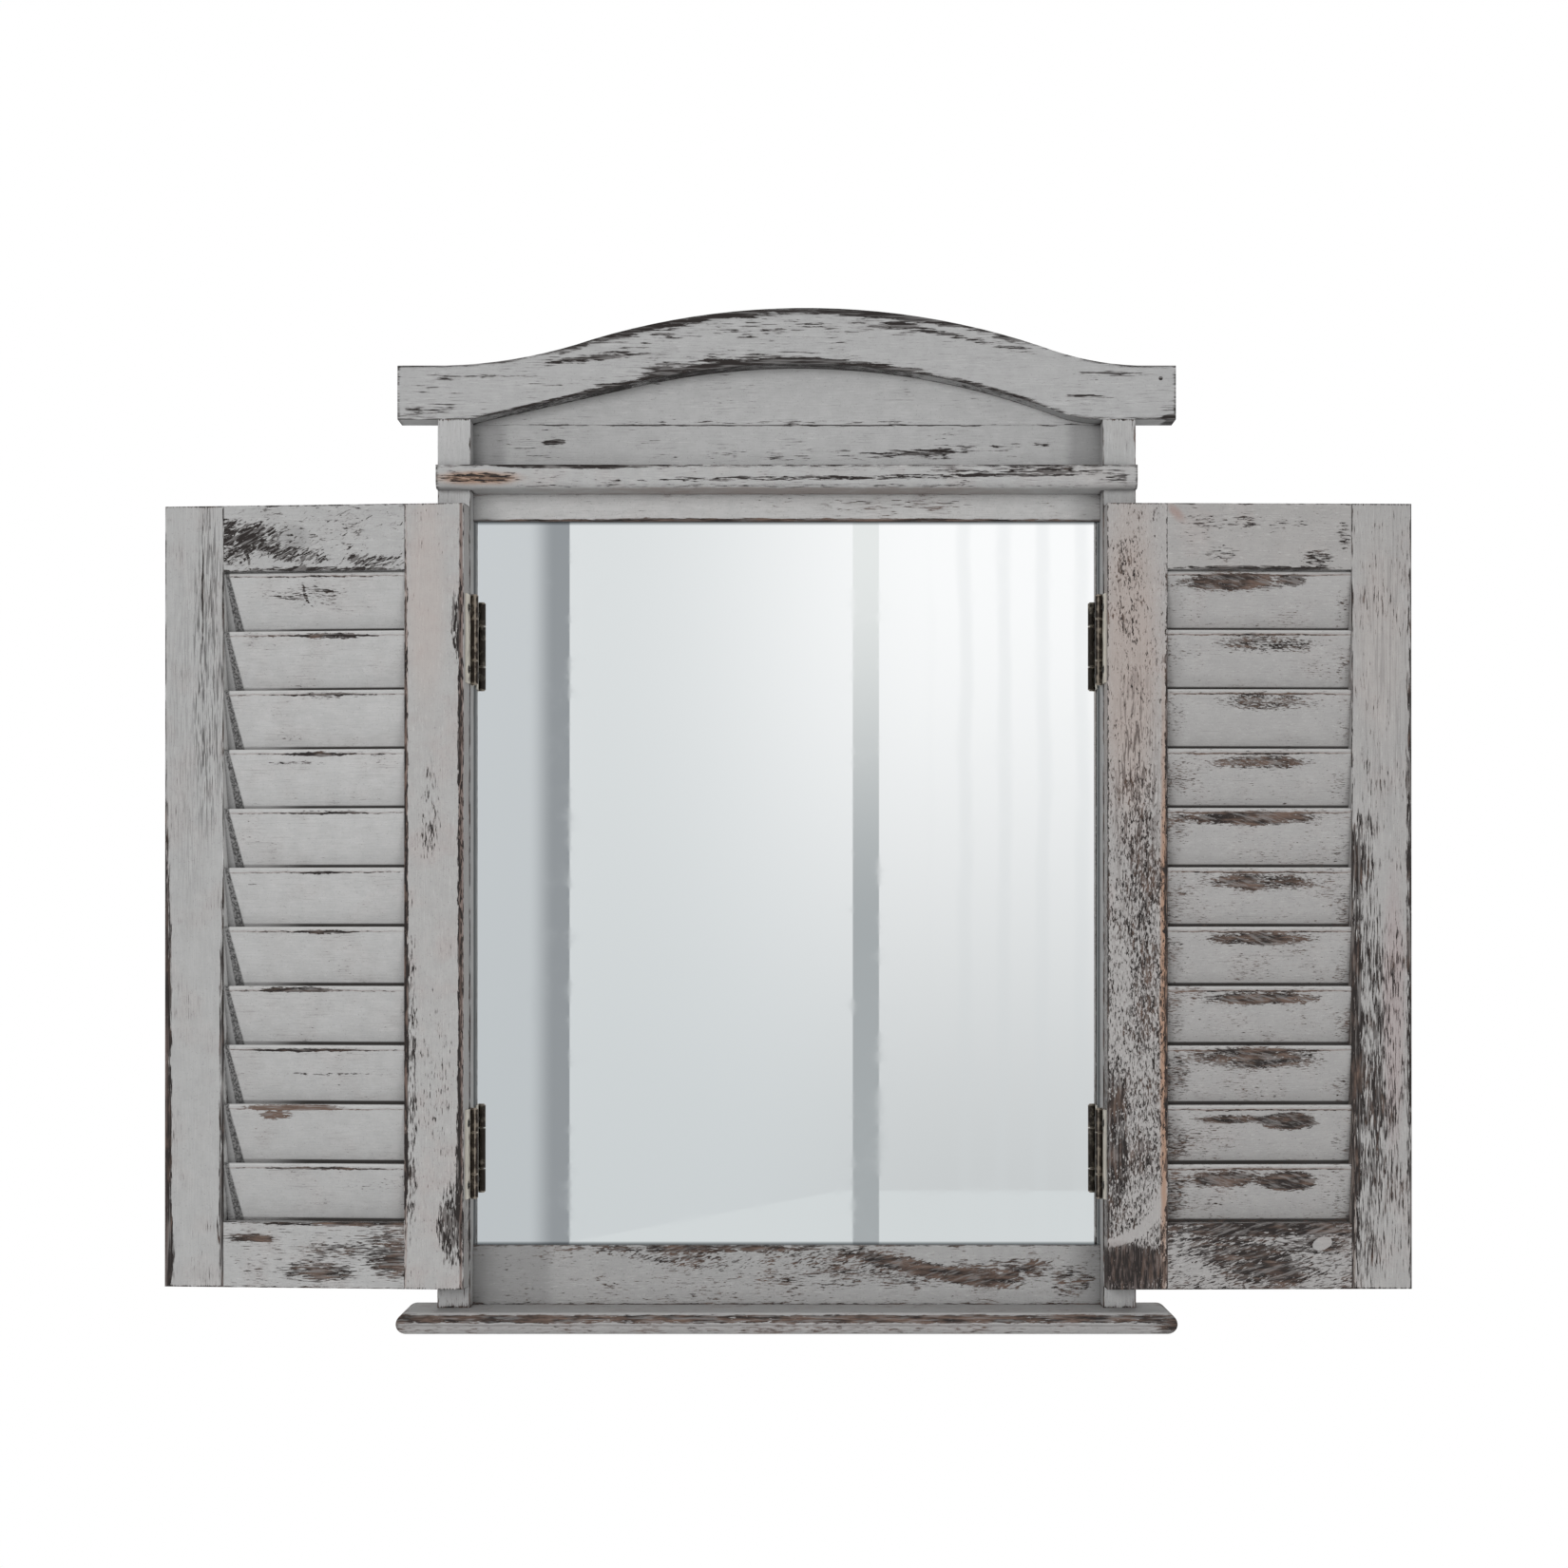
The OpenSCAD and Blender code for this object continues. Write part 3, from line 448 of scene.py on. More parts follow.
def sill():
    wood = Wood("sill", "x", seed=8.8)
    marks = [0.2, wood.band(-428.8, -424.9, 0.56), wood.band(-427.4, -425.4, 0.25),
             wood.band(-434.6, -430.4, 0.12), wood.blob(197, -430, 10, 7, 0.6),
             wood.blob(-198, -427, 8, 4, 0.4)]
    lip = (wood.band(-433.4, -430.4, 0.3), (0.29, 0.275, 0.27, 1))
    dark = (wood.band(-430.4, -429.6, 0.5), (0.05, 0.04, 0.035, 1))
    nose = wood.low[1] / MM
    front = wood.slope(wood.depth, nose + 4, nose + 6, 1.0, 0.0)
    top = wood.slope(wood.v, -425.0, -424.4, 0.0, 0.5)
    lit = (wood.maths("MULTIPLY", top, front), (0.55, 0.54, 0.53, 1))
    return wood.finish((0.34, 0.335, 0.332, 1), marks, stains=[lip, lit, dark], pink=0.3, brown=0.34,
                       rim=0.3, boxed=False, fineness=1400)


def post(side):
    wood = Wood(side + "_post", "z", seed=2.2 if side == "left" else 9.1)
    marks = [0.1, wood.slope(wood.v, -420, -200, 0.16, 0.04)]
    # The left post's grey is lighter than the right's: painted light, as from the left
    paint = grey(0.43) if side == "left" else (0.4, 0.4, 0.398, 1)
    return wood.finish(paint, marks, pink=0.12, brown=0.3, rim=0.4, length=14)


# ---- Left shutter ----

def left_outer_stile():
    wood = Wood("left_outer_stile", "z", "left", 11.3)
    marks = [0.1, wood.blob(136, -62, 11, 75, 0.12), wood.blob(139.5, -50, 0.8, 60, 0.4),
             wood.blob(129.4, -320, 1.9, 140, 0.56), wood.blob(158.2, -310, 3.6, 180, 0.7),
             wood.blob(157, -392, 4, 28, 0.7), wood.blob(129, -380, 5, 26, 0.3)]
    combed = wood.between(wood.streaks(1750, 26, detail=2), 0.5, 0.58)
    combed = wood.maths("MULTIPLY", combed, wood.add(wood.blob(136, -90, 10, 105, 0.62, core=0.6),
                                                     wood.blob(147, -130, 16, 130, 0.2)))
    inner_face = wood.low[0] / MM
    # Painted light: the stile's inner side is made much paler, as if lit
    lit_side_face = (wood.slope(wood.u, inner_face + 0.2, inner_face + 0.5, 0.6, 0.0), (0.75, 0.75, 0.74, 1))
    lines = (combed, (0.045, 0.043, 0.042, 1))
    edge = (wood.blob(158.8, -310, 2.4, 170, 0.7), (0.13, 0.075, 0.06, 1))
    return wood.finish(GREY_PAINT, marks, stains=[lit_side_face, lines, edge], pink=0.25, brown=0.22, rim=0.5,
                       length=26, fineness=1700, recess_grime_and_shade=0.1, hair=0.5)


def left_inner_stile():
    wood = Wood("left_inner_stile", "z", "left", 12.9)
    marks = [0.08, wood.blob(4.2, -200, 1.8, 260, 0.6), wood.blob(6.5, -72, 3.4, 26, 0.55),
             wood.blob(4.6, -345, 2.4, 60, 0.5), wood.blob(32.2, -210, 1.7, 240, 0.62),
             wood.blob(20, -165, 8, 36, 0.27), wood.blob(29.6, -310, 5, 120, 0.4),
             wood.blob(9, -380, 10, 30, 0.5), wood.blob(16, -300, 14, 60, 0.2)]
    stain = (wood.blob(22, -60, 14, 70, 0.35), (0.43, 0.36, 0.33, 1))
    line = (wood.blob(3.6, -200, 1.5, 300, 0.75, core=0.6), (0.11, 0.058, 0.042, 1))
    edge = (wood.blob(32.4, -220, 1.5, 260, 0.7), (0.19, 0.1, 0.066, 1))
    return wood.finish((0.395, 0.39, 0.385, 1), marks, stains=[stain, line, edge], pink=0.5,
                       brown=0.15, rim=0.4, length=7, recess_grime_and_shade=0.1)


def left_top_rail():
    wood = Wood("left_shutter_top_rail", "x", "left", 13.4)
    marks = [0.18, wood.blob(127, -20, 10, 11, 0.5), wood.blob(116, -31, 1.4, 12, 0.66, -0.2),
             wood.blob(76, -40.8, 48, 1.6, 0.5), wood.blob(126, -33, 10, 9, 0.3)]
    slant = [0.2, wood.blob(108, -25, 16, 11, 0.38), wood.blob(90, -34, 26, 6, 0.34, 0.1),
             wood.blob(48, -37, 26, 5, 0.36), wood.blob(122, -26, 18, 18, 0.36)]
    shadow = (wood.blob(92, -25, 12, 10, 0.34), grey(0.16))
    return wood.finish(GREY_PAINT, marks, slant, [shadow], pink=0.1, brown=-0.1, rim=0.35, warp=0.6,
                       length=5, fineness=1000, slant_angle=-0.5)


def left_bottom_rail():
    wood = Wood("left_shutter_bottom_rail", "x", "left", 14.8)
    marks = [0.24, wood.blob(115, -387, 16, 3, 0.6), wood.blob(45, -392, 24, 13, 0.37),
             wood.blob(78, -404, 30, 7, 0.4), wood.blob(60, -379.5, 60, 1.6, 0.5),
             wood.blob(38, -402, 18, 9, 0.38), wood.blob(72, -393, 20, 6, 0.26)]
    return wood.finish(GREY_PAINT, marks, pink=0.3, brown=0.27, rim=0.35, length=9, warp=0.1,
                       fineness=1650, hair=0.5)


# ---- Right shutter ----

def right_inner_stile():
    wood = Wood("right_inner_stile", "z", "right", 21.3)
    lower = wood.slope(wood.v, -362, -350, 1.0, 0.0)
    sweep = wood.maths("MULTIPLY", wood.ring(-2, -354, 35, 3.4, -0.5, -10, 60), lower)
    marks = [wood.slope(wood.v, -300, -60, 0.47, 0.22), wood.blob(20, -200, 14, 90, 0.1),
             wood.blob(13, -50, 10, 44, 0.15),
             wood.blob(7, -335, 7, 50, 0.26), wood.blob(14, -400, 26, 16, 0.42),
             wood.blob(32.4, -220, 1.2, 190, 0.5), sweep, wood.blob(12, -85, 10, 20, 0.12)]
    lines = wood.between(wood.streaks(850, 11, detail=2, warp=0.7), 0.51, 0.56)
    lines = wood.maths("MULTIPLY", lines, wood.blob(17, -160, 15, 90, 0.8))
    wormy = (lines, (0.085, 0.066, 0.06, 1))
    stain = (wood.blob(14, -90, 20, 110, 0.45), (0.37, 0.29, 0.25, 1))
    edge = (wood.blob(31.2, -270, 2.8, 210, 0.85), (0.33, 0.195, 0.125, 1))
    foot = (wood.blob(14, -402, 26, 17, 0.75), (0.09, 0.058, 0.05, 1))
    return wood.finish((0.365, 0.35, 0.342, 1), marks, stains=[stain, edge, foot, wormy], pink=0.5,
                       brown=0.25, rim=0.36, length=3.2, fineness=1300, warp=0.5, recess_grime_and_shade=0.1)


def right_outer_stile():
    wood = Wood("right_outer_stile", "z", "right", 22.7)
    marks = [0.2, wood.blob(130.5, -300, 4, 170, 0.42), wood.blob(137, -290, 10, 190, 0.3),
             wood.blob(148, -300, 12, 120, 0.24), wood.blob(132, -190, 4, 30, 0.3),
             wood.blob(158, -220, 2.0, 230, 0.4)]
    lines = wood.between(wood.streaks(900, 30, detail=2, warp=0.5), 0.5, 0.62)
    lines = wood.maths("MULTIPLY", lines, wood.blob(146, -90, 20, 110, 0.34))
    wavy = (lines, (0.15, 0.14, 0.14, 1))
    red = (wood.blob(150, -270, 8, 95, 0.3), (0.34, 0.23, 0.23, 1))
    pale = (wood.blob(143, -80, 18, 70, 0.3), (0.41, 0.37, 0.35, 1))
    edge = (wood.blob(129, -330, 2.4, 150, 0.55), (0.13, 0.085, 0.06, 1))
    return wood.finish((0.36, 0.352, 0.346, 1), marks, stains=[red, pale, edge, wavy], pink=0.35,
                       brown=0.22, rim=0.45, length=13, fineness=1500, recess_grime_and_shade=0.1, hair=0.45)


def right_top_rail():
    wood = Wood("right_shutter_top_rail", "x", "right", 23.6)
    marks = [0.12, wood.blob(112, -36, 12, 6, 0.46), wood.blob(62, -34, 14, 6, 0.3),
             wood.blob(80, -41, 64, 1.4, 0.55), wood.blob(80, -18, 50, 6, 0.26),
             wood.blob(124, -26, 6, 12, 0.4)]
    red = (wood.blob(38, -13, 10, 4, 0.5, -0.7, core=0.1), (0.28, 0.16, 0.13, 1))
    return wood.finish((0.35, 0.34, 0.333, 1), marks, stains=[red], pink=0.35, brown=0.2, rim=0.35,
                       length=6, warp=0.5)


def right_bottom_rail():
    wood = Wood("right_shutter_bottom_rail", "x", "right", 24.5)
    marks = [0.28, wood.blob(80, -382, 62, 5, 0.66), wood.blob(105, -390, 24, 6, 0.36)]
    slant = [0.38, wood.blob(72, -395, 50, 13, 0.27, -0.2), wood.blob(85, -405, 30, 8, 0.2)]
    knot = wood.blob(113, -389, 5.5, 3.6, -2.2, 0.3, core=0.6)
    return wood.finish((0.34, 0.33, 0.325, 1), marks + [knot], slant + [knot], pink=0.3, brown=0.26,
                       rim=0.35, length=6, fineness=1250, warp=0.4, slant_angle=0.3)


# ---- Slats ----

# Marks by slat: (distance from the pin line, below the slat's top, half width, half height,
# strength, and an angle if it is tilted)
LEFT_SLAT_MARKS = {
    1: [(96, 13, 14, 1.2, 0.26, 0.1), (74, 10, 14, 1.1, 0.26, 0.05), (85, 12, 1.0, 9, 0.36, -0.42),
        (84, 12, 24, 7, 0.22)],
    2: [(70, 2.6, 28, 2.4, 0.6)],
    3: [(70, 3, 26, 2.6, 0.35)],
    4: [(78, 2.6, 24, 1.8, 0.6), (90, 7, 22, 1.2, 0.4)],
    5: [(72, 2.2, 26, 2, 0.45)],
    6: [(78, 2.8, 16, 1.5, 0.5), (112, 9, 6, 1.2, 0.4)],
    7: [(76, 2.6, 20, 1.6, 0.55)],
    8: [(88, 1.8, 26, 2.2, 0.7)],
    9: [(88, 2.6, 34, 1.4, 0.7), (75, 15, 44, 0.9, 0.35)],
    10: [(92, 1.6, 34, 2.2, 0.9), (101, 5.6, 12, 3.4, 0.75)],
    11: [(70, 2.6, 40, 1.4, 0.4), (52, 11, 24, 5, 0.2)]}
# Right slats: the same, with each slat's scraped patch first
RIGHT_SLAT_MARKS = {
    1: [(66, 6, 40, 6.5, 0.6), (99, 4.6, 11, 5, 0.6)],
    2: [(84, 7, 35, 7, 0.45)],
    3: [(84, 6.5, 35, 7, 0.42)],
    4: [(82, 7, 36, 5, 0.5)],
    5: [(74, 5.4, 48, 5, 0.66)],
    6: [(82, 7.5, 40, 6.5, 0.45)],
    7: [(80, 6.2, 40, 5, 0.55)],
    8: [(80, 6.4, 40, 4.6, 0.62)],
    9: [(78, 6.4, 46, 8, 0.54)],
    10: [(96, 8.5, 19, 6.5, 0.95), (68, 7.5, 28, 3.0, 0.55)],
    11: [(96, 9, 19, 6.8, 1.0), (64, 7.5, 28, 6, 0.5)]}
# By a left slat's outer end, the slanted edges of the painted shadow and of the paler painted shade
# for the stile's side beyond it:
# (distance from the pin line, degrees off upright, softness), in metres
LEFT_WEDGE_EDGES = ((0.1222, -11.5, 0.0011), (0.1257, -6.6, 0.0008))


def wedge(wood, high, front):
    """The painted shadow by a left slat's outer end, and a paler painted shade beyond it for the side
    of the stile.
    """
    shares = []
    for u, degrees, soft in LEFT_WEDGE_EDGES:
        spot = (u, (high - 15) * MM, 0)
        turned = wood.place(wood.flat, spot, (0, 0, math.radians(degrees)), kind="TEXTURE")
        across = wood.node("ShaderNodeSeparateXYZ", {0: turned})
        shares.append(wood.maths("MULTIPLY", wood.between(across, 0.0, soft), front))
    speckled = wood.between(wood.noise(wood.spot, 900, 3, 0.7), 0.38, 0.6, 0.6, 1.0)
    dark = wood.maths("MULTIPLY", shares[0], speckled)
    pale = wood.maths("MULTIPLY", shares[1], 0.8)
    return [(dark, (0.045, 0.044, 0.044, 1)), (pale, grey(0.3))]


def slat_lines(wood, side, number, high, front):
    """The painted shadow between this slat and the next one's top, the painted highlight on the top
    edge, the line below it, and the rail's painted shadow.
    """
    below = f"{side}_slat_{number + 1}" if number < SLATS else side + "_shutter_bottom_rail"
    next_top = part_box(below)[1][2] / MM
    fade = wood.slope(wood.u, 85, 112, 1.0, 0.45 if side == "left" else 0.95)
    fade = wood.maths("MULTIPLY", fade, front)
    gap_shadow = wood.maths("MULTIPLY", wood.slope(wood.v, next_top + 1.2, next_top + 2.1, 0.96, 0.0), fade)
    lit = wood.slope(wood.v, high - 1.4, high - 0.6, 0.0, 0.6)
    line = wood.blob(82, high - 2.4, 90, 0.7, 0.4 if side == "left" else 0.62)
    stains = [(gap_shadow, (0.025, 0.022, 0.02, 1)), (lit, CHALK_AND_HIGHLIGHT), (line, (0.17, 0.12, 0.1, 1))]
    if number == 1:
        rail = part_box(side + "_shutter_top_rail")[0][2] / MM
        shadow = wood.slope(wood.v, rail - 1.6, rail - 0.6, 0.0, 0.85)
        stains.append((shadow, (0.03, 0.027, 0.025, 1)))
    return stains


def left_slat(number):
    name = f"left_slat_{number}"
    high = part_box(name)[1][2] / MM
    wood = Wood(name, "x", "left", 30 + 3.7 * number)
    marks = [0.07, wood.blob(78, high - 2.6, 70, 0.7, 0.42)]
    for u, down, ru, rv, strength, *angle in LEFT_SLAT_MARKS[number]:
        marks.append(wood.blob(u, high - down, ru, rv, strength, *angle))
    front = wood.faces_front()
    stains = slat_lines(wood, "left", number, high, front) + wedge(wood, high, front)
    level = 0.445 + 0.01 * (number - 1) if number < 5 else 0.475 - 0.0085 * (number - 4)
    return wood.finish((level, level, level - 0.002, 1), marks, None, stains, pink=0.15,
                       brown=0.5 if number == 10 else 0.22, rim=0.3, boxed=False, rim_width=0.9,
                       length=5, fineness=1650, slant_angle=-0.3, recess_grime_and_shade=0.3)


def right_slat(number):
    name = f"right_slat_{number}"
    low, high = (corner[2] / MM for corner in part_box(name))
    wood = Wood(name, "x", "right", 30 + 3.7 * number + 60)
    marks = [0.12 + 0.008 * number, wood.blob(78, high - 2.6, 70, 0.7, 0.42)]
    for u, down, ru, rv, strength, *angle in RIGHT_SLAT_MARKS[number]:
        marks.append(wood.blob(u, high - down, ru, rv, strength, *angle))
    # rubbed sets the strength of both the wear and the painted shadow at the slat's inner end
    rubbed = 1.0 if number > 8 else 0.5
    middle = (low + high) / 2
    marks += [wood.blob(36, middle, 13, 18, 0.3 * rubbed), wood.blob(124, low + 12, 6, 14, 0.2)]
    # Painted shadow of the inner stile on the slat's inner end
    stile_shadow = wood.blob(34, middle, 11, 20, 0.4 * rubbed)
    stains = slat_lines(wood, "right", number, high, wood.faces_front())
    stains.append((stile_shadow, (0.12, 0.11, 0.105, 1)))
    level = 0.375 - 0.004 * max(0, number - 5)
    return wood.finish((level, level - 0.007, level - 0.012, 1), marks, [0.02] + marks[2:4], stains,
                       pink=0.15, brown=0.32, rim=0.3, boxed=False, rim_width=0.9, length=5,
                       fineness=1650, slant_angle=-0.3, recess_grime_and_shade=0.3)


# ---- Metals, mirror and back ----

def old_brass():
    """Dark bronze patina on the knuckles, a rubbed line along their fronts that is also a painted
    highlight, and paler metal on the leaves.
    """
    metal = Shader("old_brass")
    spot = metal.position()
    patina = metal.noise(spot, 260, 4, 0.6)
    rub = metal.between(metal.occlusion(0.0007, True), 0.95, 0.6, 0.0, 0.3)
    x = metal.node("ShaderNodeSeparateXYZ", {0: spot})
    across = metal.maths("SUBTRACT", metal.maths("ABSOLUTE", x), PIN_X)
    deep = metal.maths("SUBTRACT", x.node.outputs[1], PIN_Y)
    squares = metal.add(metal.maths("POWER", across, 2), metal.maths("POWER", deep, 2))
    leaf = metal.between(metal.maths("SQRT", squares), KNUCKLE_EDGE, LEAF_START, 0.0, 0.45)
    # A pale line along the knuckle's front: wear there, and a painted highlight
    ridge_wear_and_highlight = metal.maths("ABSOLUTE", metal.maths("ADD", across, 0.0007))
    ridge_wear_and_highlight = metal.maths("MULTIPLY", metal.between(ridge_wear_and_highlight, 0.0001, 0.0005, 0.22, 0.0),
                        metal.between(deep, -0.0006, -0.0001, 1.0, 0.0))
    share = metal.between(metal.add(patina, rub, leaf, ridge_wear_and_highlight), 0.5, 0.8)
    worn = metal.mix(metal.between(leaf, 0.0, 0.45), (0.3, 0.26, 0.215, 1), (0.74, 0.7, 0.62, 1))
    colour = metal.mix(share, (0.032, 0.026, 0.022, 1), worn)
    bump = metal.node("ShaderNodeBump", {"Strength": 0.3, "Distance": 0.0001, "Height": patina})
    metal.set(Base_Color=colour, Metallic=1.0, Normal=bump,
              Roughness=metal.between(patina, 0.3, 0.7, 0.32, 0.6))
    return metal.material


def dark_screw():
    metal = Shader("dark_screw")
    patina = metal.noise(metal.position(), 700, 3, 0.6)
    colour = metal.mix(metal.between(patina, 0.45, 0.8), (0.02, 0.018, 0.016, 1), (0.2, 0.17, 0.14, 1))
    metal.set(Base_Color=colour, Metallic=1.0, Roughness=metal.between(patina, 0.3, 0.7, 0.3, 0.55))
    return metal.material


def plated_steel():
    metal = Shader("plated_steel")
    spot = metal.position()
    grain = metal.noise(metal.place(spot, scale=(0.1, 1, 1)), 900, 3, 0.6)
    spangle = metal.noise(spot, 160, 2, 0.5)
    tones = (0.42, 0.42, 0.43, 1), (0.58, 0.58, 0.57, 1)
    colour = metal.mix(metal.between(spangle, 0.35, 0.65), *tones)
    bump = metal.node("ShaderNodeBump", {"Strength": 0.2, "Distance": 0.0001, "Height": grain})
    metal.set(Base_Color=colour, Metallic=1.0, Normal=bump,
              Roughness=metal.between(grain, 0.3, 0.7, 0.28, 0.45))
    return metal.material


def hardboard():
    board = Shader("hardboard")
    spot = board.position()
    fibre = board.noise(spot, 420, 5, 0.7)
    cloud = board.noise(spot, 22, 3, 0.5)
    share = board.add(board.maths("MULTIPLY", fibre, 0.7), board.maths("MULTIPLY", cloud, 0.3))
    colour = board.mix(board.between(share, 0.35, 0.65), (0.13, 0.075, 0.045, 1), (0.27, 0.17, 0.1, 1))
    bump = board.node("ShaderNodeBump", {"Strength": 0.4, "Distance": 0.0002, "Height": fibre})
    board.set(Base_Color=colour, Normal=bump, Roughness=board.between(cloud, 0.3, 0.7, 0.7, 0.85))
    return board.material


def dowel_wood():
    wood = Shader("dowel_wood")
    rings = wood.noise(wood.place(wood.position(), scale=(1, 1, 0.06)), 900, 4, 0.6)
    colour = wood.mix(wood.between(rings, 0.35, 0.65), (0.42, 0.28, 0.16, 1), (0.6, 0.45, 0.28, 1))
    wood.set(Base_Color=colour, Roughness=wood.between(rings, 0.3, 0.7, 0.6, 0.75))
    return wood.material


def mirror_glass():
    """Clean silvered glass, darker in a thin line along the frame, with a faint film of dust."""
    glass = Shader("mirror_glass")
    spot = glass.node("ShaderNodeSeparateXYZ", {0: glass.position()})
    from_side = glass.maths("SUBTRACT", MIRROR_HALF_WIDTH, glass.maths("ABSOLUTE", spot))
    height = glass.maths("ADD", spot.node.outputs[2], -MIRROR_MIDDLE_Z)
    from_end = glass.maths("SUBTRACT", MIRROR_HALF_HEIGHT, glass.maths("ABSOLUTE", height))
    edge = glass.maths("MINIMUM", from_side, from_end)
    dust = glass.noise(glass.position(), 55, 4, 0.6)
    inside = glass.between(edge, 0.0006, 0.0022)
    colour = glass.mix(inside, (0.3, 0.32, 0.33, 1), (0.93, 0.95, 0.955, 1))
    glass.set(Base_Color=colour, Metallic=1.0, Roughness=glass.between(dust, 0.35, 0.75, 0.0, 0.035))
    return glass.material


def dress_frame():
    paints = {
        "crown_board": crown(), "tympanum_upper_board": tympanum_upper(),
        "tympanum_lower_board": tympanum_lower(), "shelf_moulding": shelf(), "top_rail": top_rail(),
        "bottom_rail": bottom_rail(), "sill": sill(), "left_post": post("left"),
        "right_post": post("right"), "mirror_glass": mirror_glass(), "back_panel": hardboard(),
        "crown_dowels": dowel_wood()}
    for node, material in paints.items():
        dress(node, material)


def dress_shutters():
    paints = {
        "left_outer_stile": left_outer_stile(), "left_inner_stile": left_inner_stile(),
        "left_shutter_top_rail": left_top_rail(), "left_shutter_bottom_rail": left_bottom_rail(),
        "right_outer_stile": right_outer_stile(), "right_inner_stile": right_inner_stile(),
        "right_shutter_top_rail": right_top_rail(), "right_shutter_bottom_rail": right_bottom_rail()}
    for node, material in paints.items():
        dress(node, material)
    for number in range(1, SLATS + 1):
        dress(f"left_slat_{number}", left_slat(number))
        dress(f"right_slat_{number}", right_slat(number))


def dress_metals():
    brass, screw, steel = old_brass(), dark_screw(), plated_steel()
    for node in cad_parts:
        if "leaf" in node and "screws" not in node or node == "hinge_pins":
            dress(node, brass)
        elif node in ("post_leaf_screws", "left_shutter_screws", "right_shutter_screws"):
            dress(node, screw)
        elif node in ("glazing_points", "sill_screws") or "hanger" in node:
            dress(node, steel)


# ---- Studio ----

def plain_sheet(name, corners, material):
    mesh = bpy.data.meshes.new(name)
    mesh.from_pydata(corners, [], [(0, 1, 2, 3)])
    mesh.materials.append(material)
    sheet = bpy.data.objects.new(name, mesh)
    bpy.context.scene.collection.objects.link(sheet)
    return sheet


def pale_floor():
    """Shows nearly white to the camera and to mirrors, and is lit as a plain surface otherwise."""
    floor = Shader("pale_floor")
    floor.set(Base_Color=grey(0.8), Roughness=0.9)
    glow = floor.node("ShaderNodeEmission", {0: WHITE, 1: 1.0})
    share = floor.maths("MULTIPLY", floor.seen_directly(), 0.92)
    lit = floor.surface.outputs[0]
    return floor.show(floor.node("ShaderNodeMixShader", {0: share, 1: lit, 2: glow}))


def floor():
    ends = ((-1.5, -1.5), (1.5, -1.5), (1.5, 1.5), (-1.5, 1.5))
    plain_sheet("floor", [(x, y, FLOOR_Z) for x, y in ends], pale_floor())


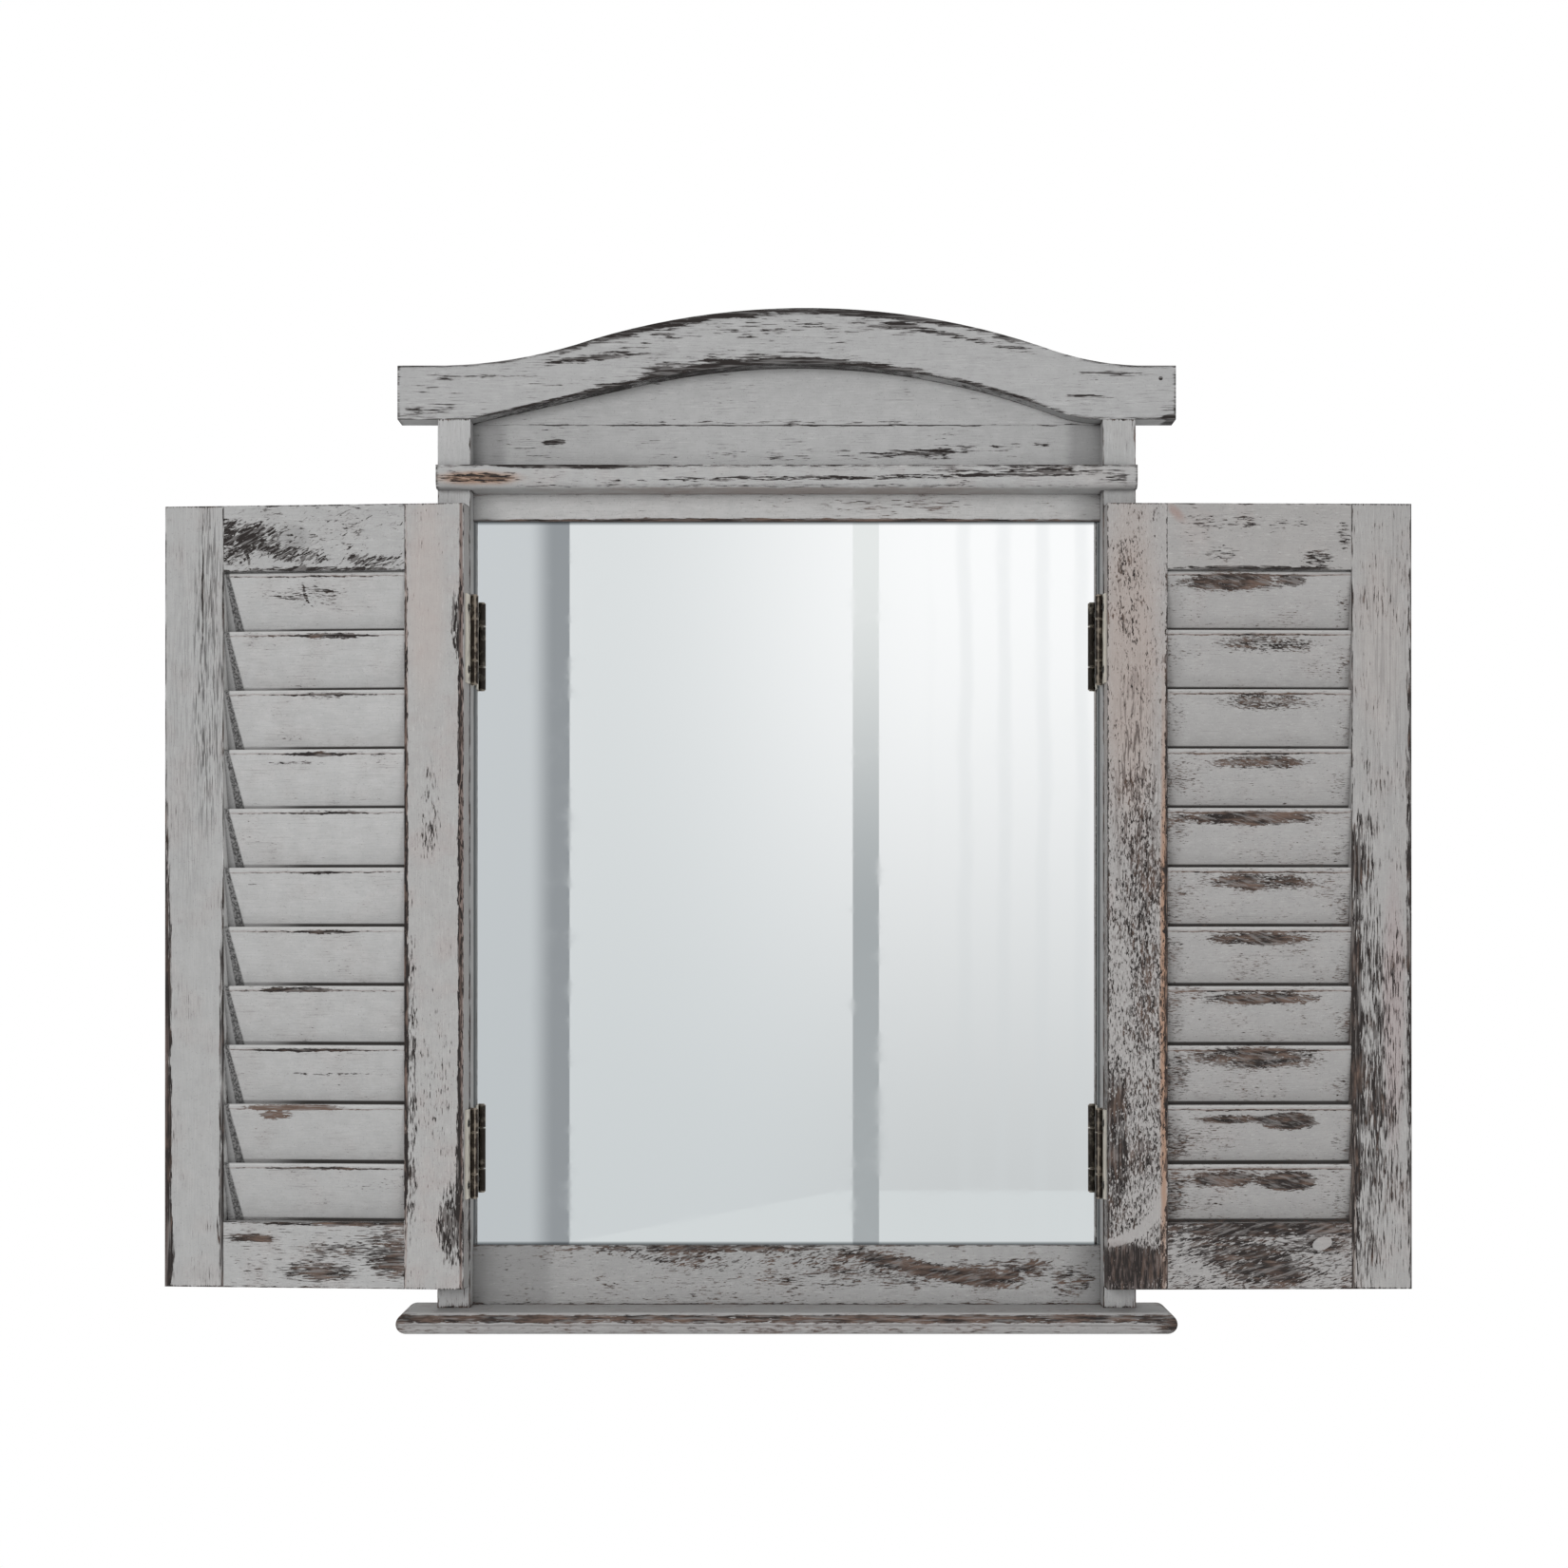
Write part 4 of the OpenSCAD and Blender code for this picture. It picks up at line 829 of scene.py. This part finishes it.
def room_picture(card):
    """Soft tones of a pale room: cool on the left, white on the right."""
    spot = card.position()
    x = card.node("ShaderNodeSeparateXYZ", {0: spot})
    z = x.node.outputs[2]
    rise = card.between(z, -0.75, 0.4)
    high = card.mix(card.between(x, -0.3, 0.25), (0.76, 0.775, 0.78, 1), (1.03, 1.02, 1.02, 1))
    low = card.mix(card.between(x, -0.1, 0.25), (0.64, 0.665, 0.675, 1), (0.6, 0.615, 0.62, 1))
    colour = card.mix(rise, low, high)

    def stripe(left, right, blur, tone):
        """An upright stripe over the colour so far, soft on its left and sharp on its right."""
        sides = card.maths("MULTIPLY", card.between(x, left, left + blur),
                           card.between(x, right, right + 0.002, 1.0, 0.0))
        return card.mix(sides, colour, tone)

    corner = -0.3245
    wall = card.mix(rise, (0.54, 0.565, 0.58, 1), (0.61, 0.63, 0.645, 1))
    colour = stripe(-2.0, corner, 0.1, wall)
    colour = stripe(-0.385, corner, 0.04, (0.305, 0.32, 0.335, 1))
    waves = {"Vector": spot, "Scale": 5.5, "Distortion": 1.2, "Detail": 2.0}
    folds = card.between(card.node("ShaderNodeTexWave", waves, output=1), 0.5, 1.0)
    folds = card.maths("MULTIPLY", folds, card.between(x, 0.19, 0.26, 0.0, 0.22))
    colour = card.mix(folds, colour, (0.66, 0.68, 0.69, 1))
    skirting = card.maths("MINIMUM", card.maths("MULTIPLY_ADD", x, 0.19, -0.619), -0.605)
    ground = card.between(card.maths("SUBTRACT", z, skirting), -0.004, 0.0, 0.8, 0.0)
    ground = card.maths("MULTIPLY", ground, card.between(x, -0.325, -0.323))
    colour = card.mix(ground, colour, (0.7, 0.725, 0.73, 1))
    door = card.mix(card.between(z, -0.25, 0.36), (0.4, 0.42, 0.43, 1), (0.84, 0.85, 0.84, 1))
    colour = stripe(0.0915, 0.13, 0.002, door)
    off_side = card.between(card.maths("ABSOLUTE", x), 0.6, 1.2)
    off_end = card.between(card.maths("ABSOLUTE", card.maths("ADD", z, 0.2)), 0.7, 1.15)
    return card.mix(card.maths("MAXIMUM", off_side, off_end), colour, WHITE)


def mirrored_room():
    """A glowing wall behind the camera that only mirrors see."""
    card = Shader("mirrored_room")
    card.show(card.node("ShaderNodeEmission", {0: room_picture(card), 1: 1.0}))
    corners = [(x, WALL_Y, z) for x, z in ((-1.4, -1.4), (1.4, -1.4), (1.4, 1.2), (-1.4, 1.2))]
    sheet = plain_sheet("mirrored_room", corners, card.material)
    for ray in ("visible_camera", "visible_diffuse", "visible_shadow", "visible_transmission"):
        setattr(sheet, ray, False)


def lamp(name, at, aim, size, power):
    data = bpy.data.lights.new(name, "AREA")
    data.shape = "RECTANGLE"
    data.size, data.size_y = size
    data.energy = power
    made = bpy.data.objects.new(name, data)
    made.location = at
    made.rotation_euler = (Vector(aim) - Vector(at)).to_track_quat("-Z", "Y").to_euler()
    made.visible_glossy = False
    bpy.context.scene.collection.objects.link(made)


def light():
    """White behind everything in view, soft grey light from all round, and four lamps."""
    world = bpy.data.worlds.new("studio")
    bpy.context.scene.world = world
    world.use_nodes = True
    sky = Tree(world.node_tree)
    soft = sky.tree.nodes["Background"]
    sky.feed(soft.inputs[0], WHITE)
    sky.feed(soft.inputs[1], SKY_STRENGTH)
    white = sky.node("ShaderNodeBackground", {0: WHITE, 1: 1.0})
    both = {0: sky.seen_directly(), 1: soft.outputs[0], 2: white}
    sky.feed(sky.tree.nodes["World Output"].inputs[0], sky.node("ShaderNodeMixShader", both))
    lamp("key", (-0.9, -2.4, 0.3), (0, 0, -0.15), (1.0, 0.8), 27)
    lamp("fill", (0.9, -2.3, -0.5), (0, 0, -0.2), (1.0, 1.0), 15)
    lamp("top", (0.1, -0.8, 1.5), (0, 0, -0.1), (1.0, 0.6), 2)
    lamp("back", (-0.5, 2.3, 0.5), (0, 0, -0.2), (1.2, 1.0), 18)


camera()
light()
floor()
mirrored_room()
dress_frame()
dress_shutters()
dress_metals()
bpy.context.scene.view_settings.view_transform = "Standard"
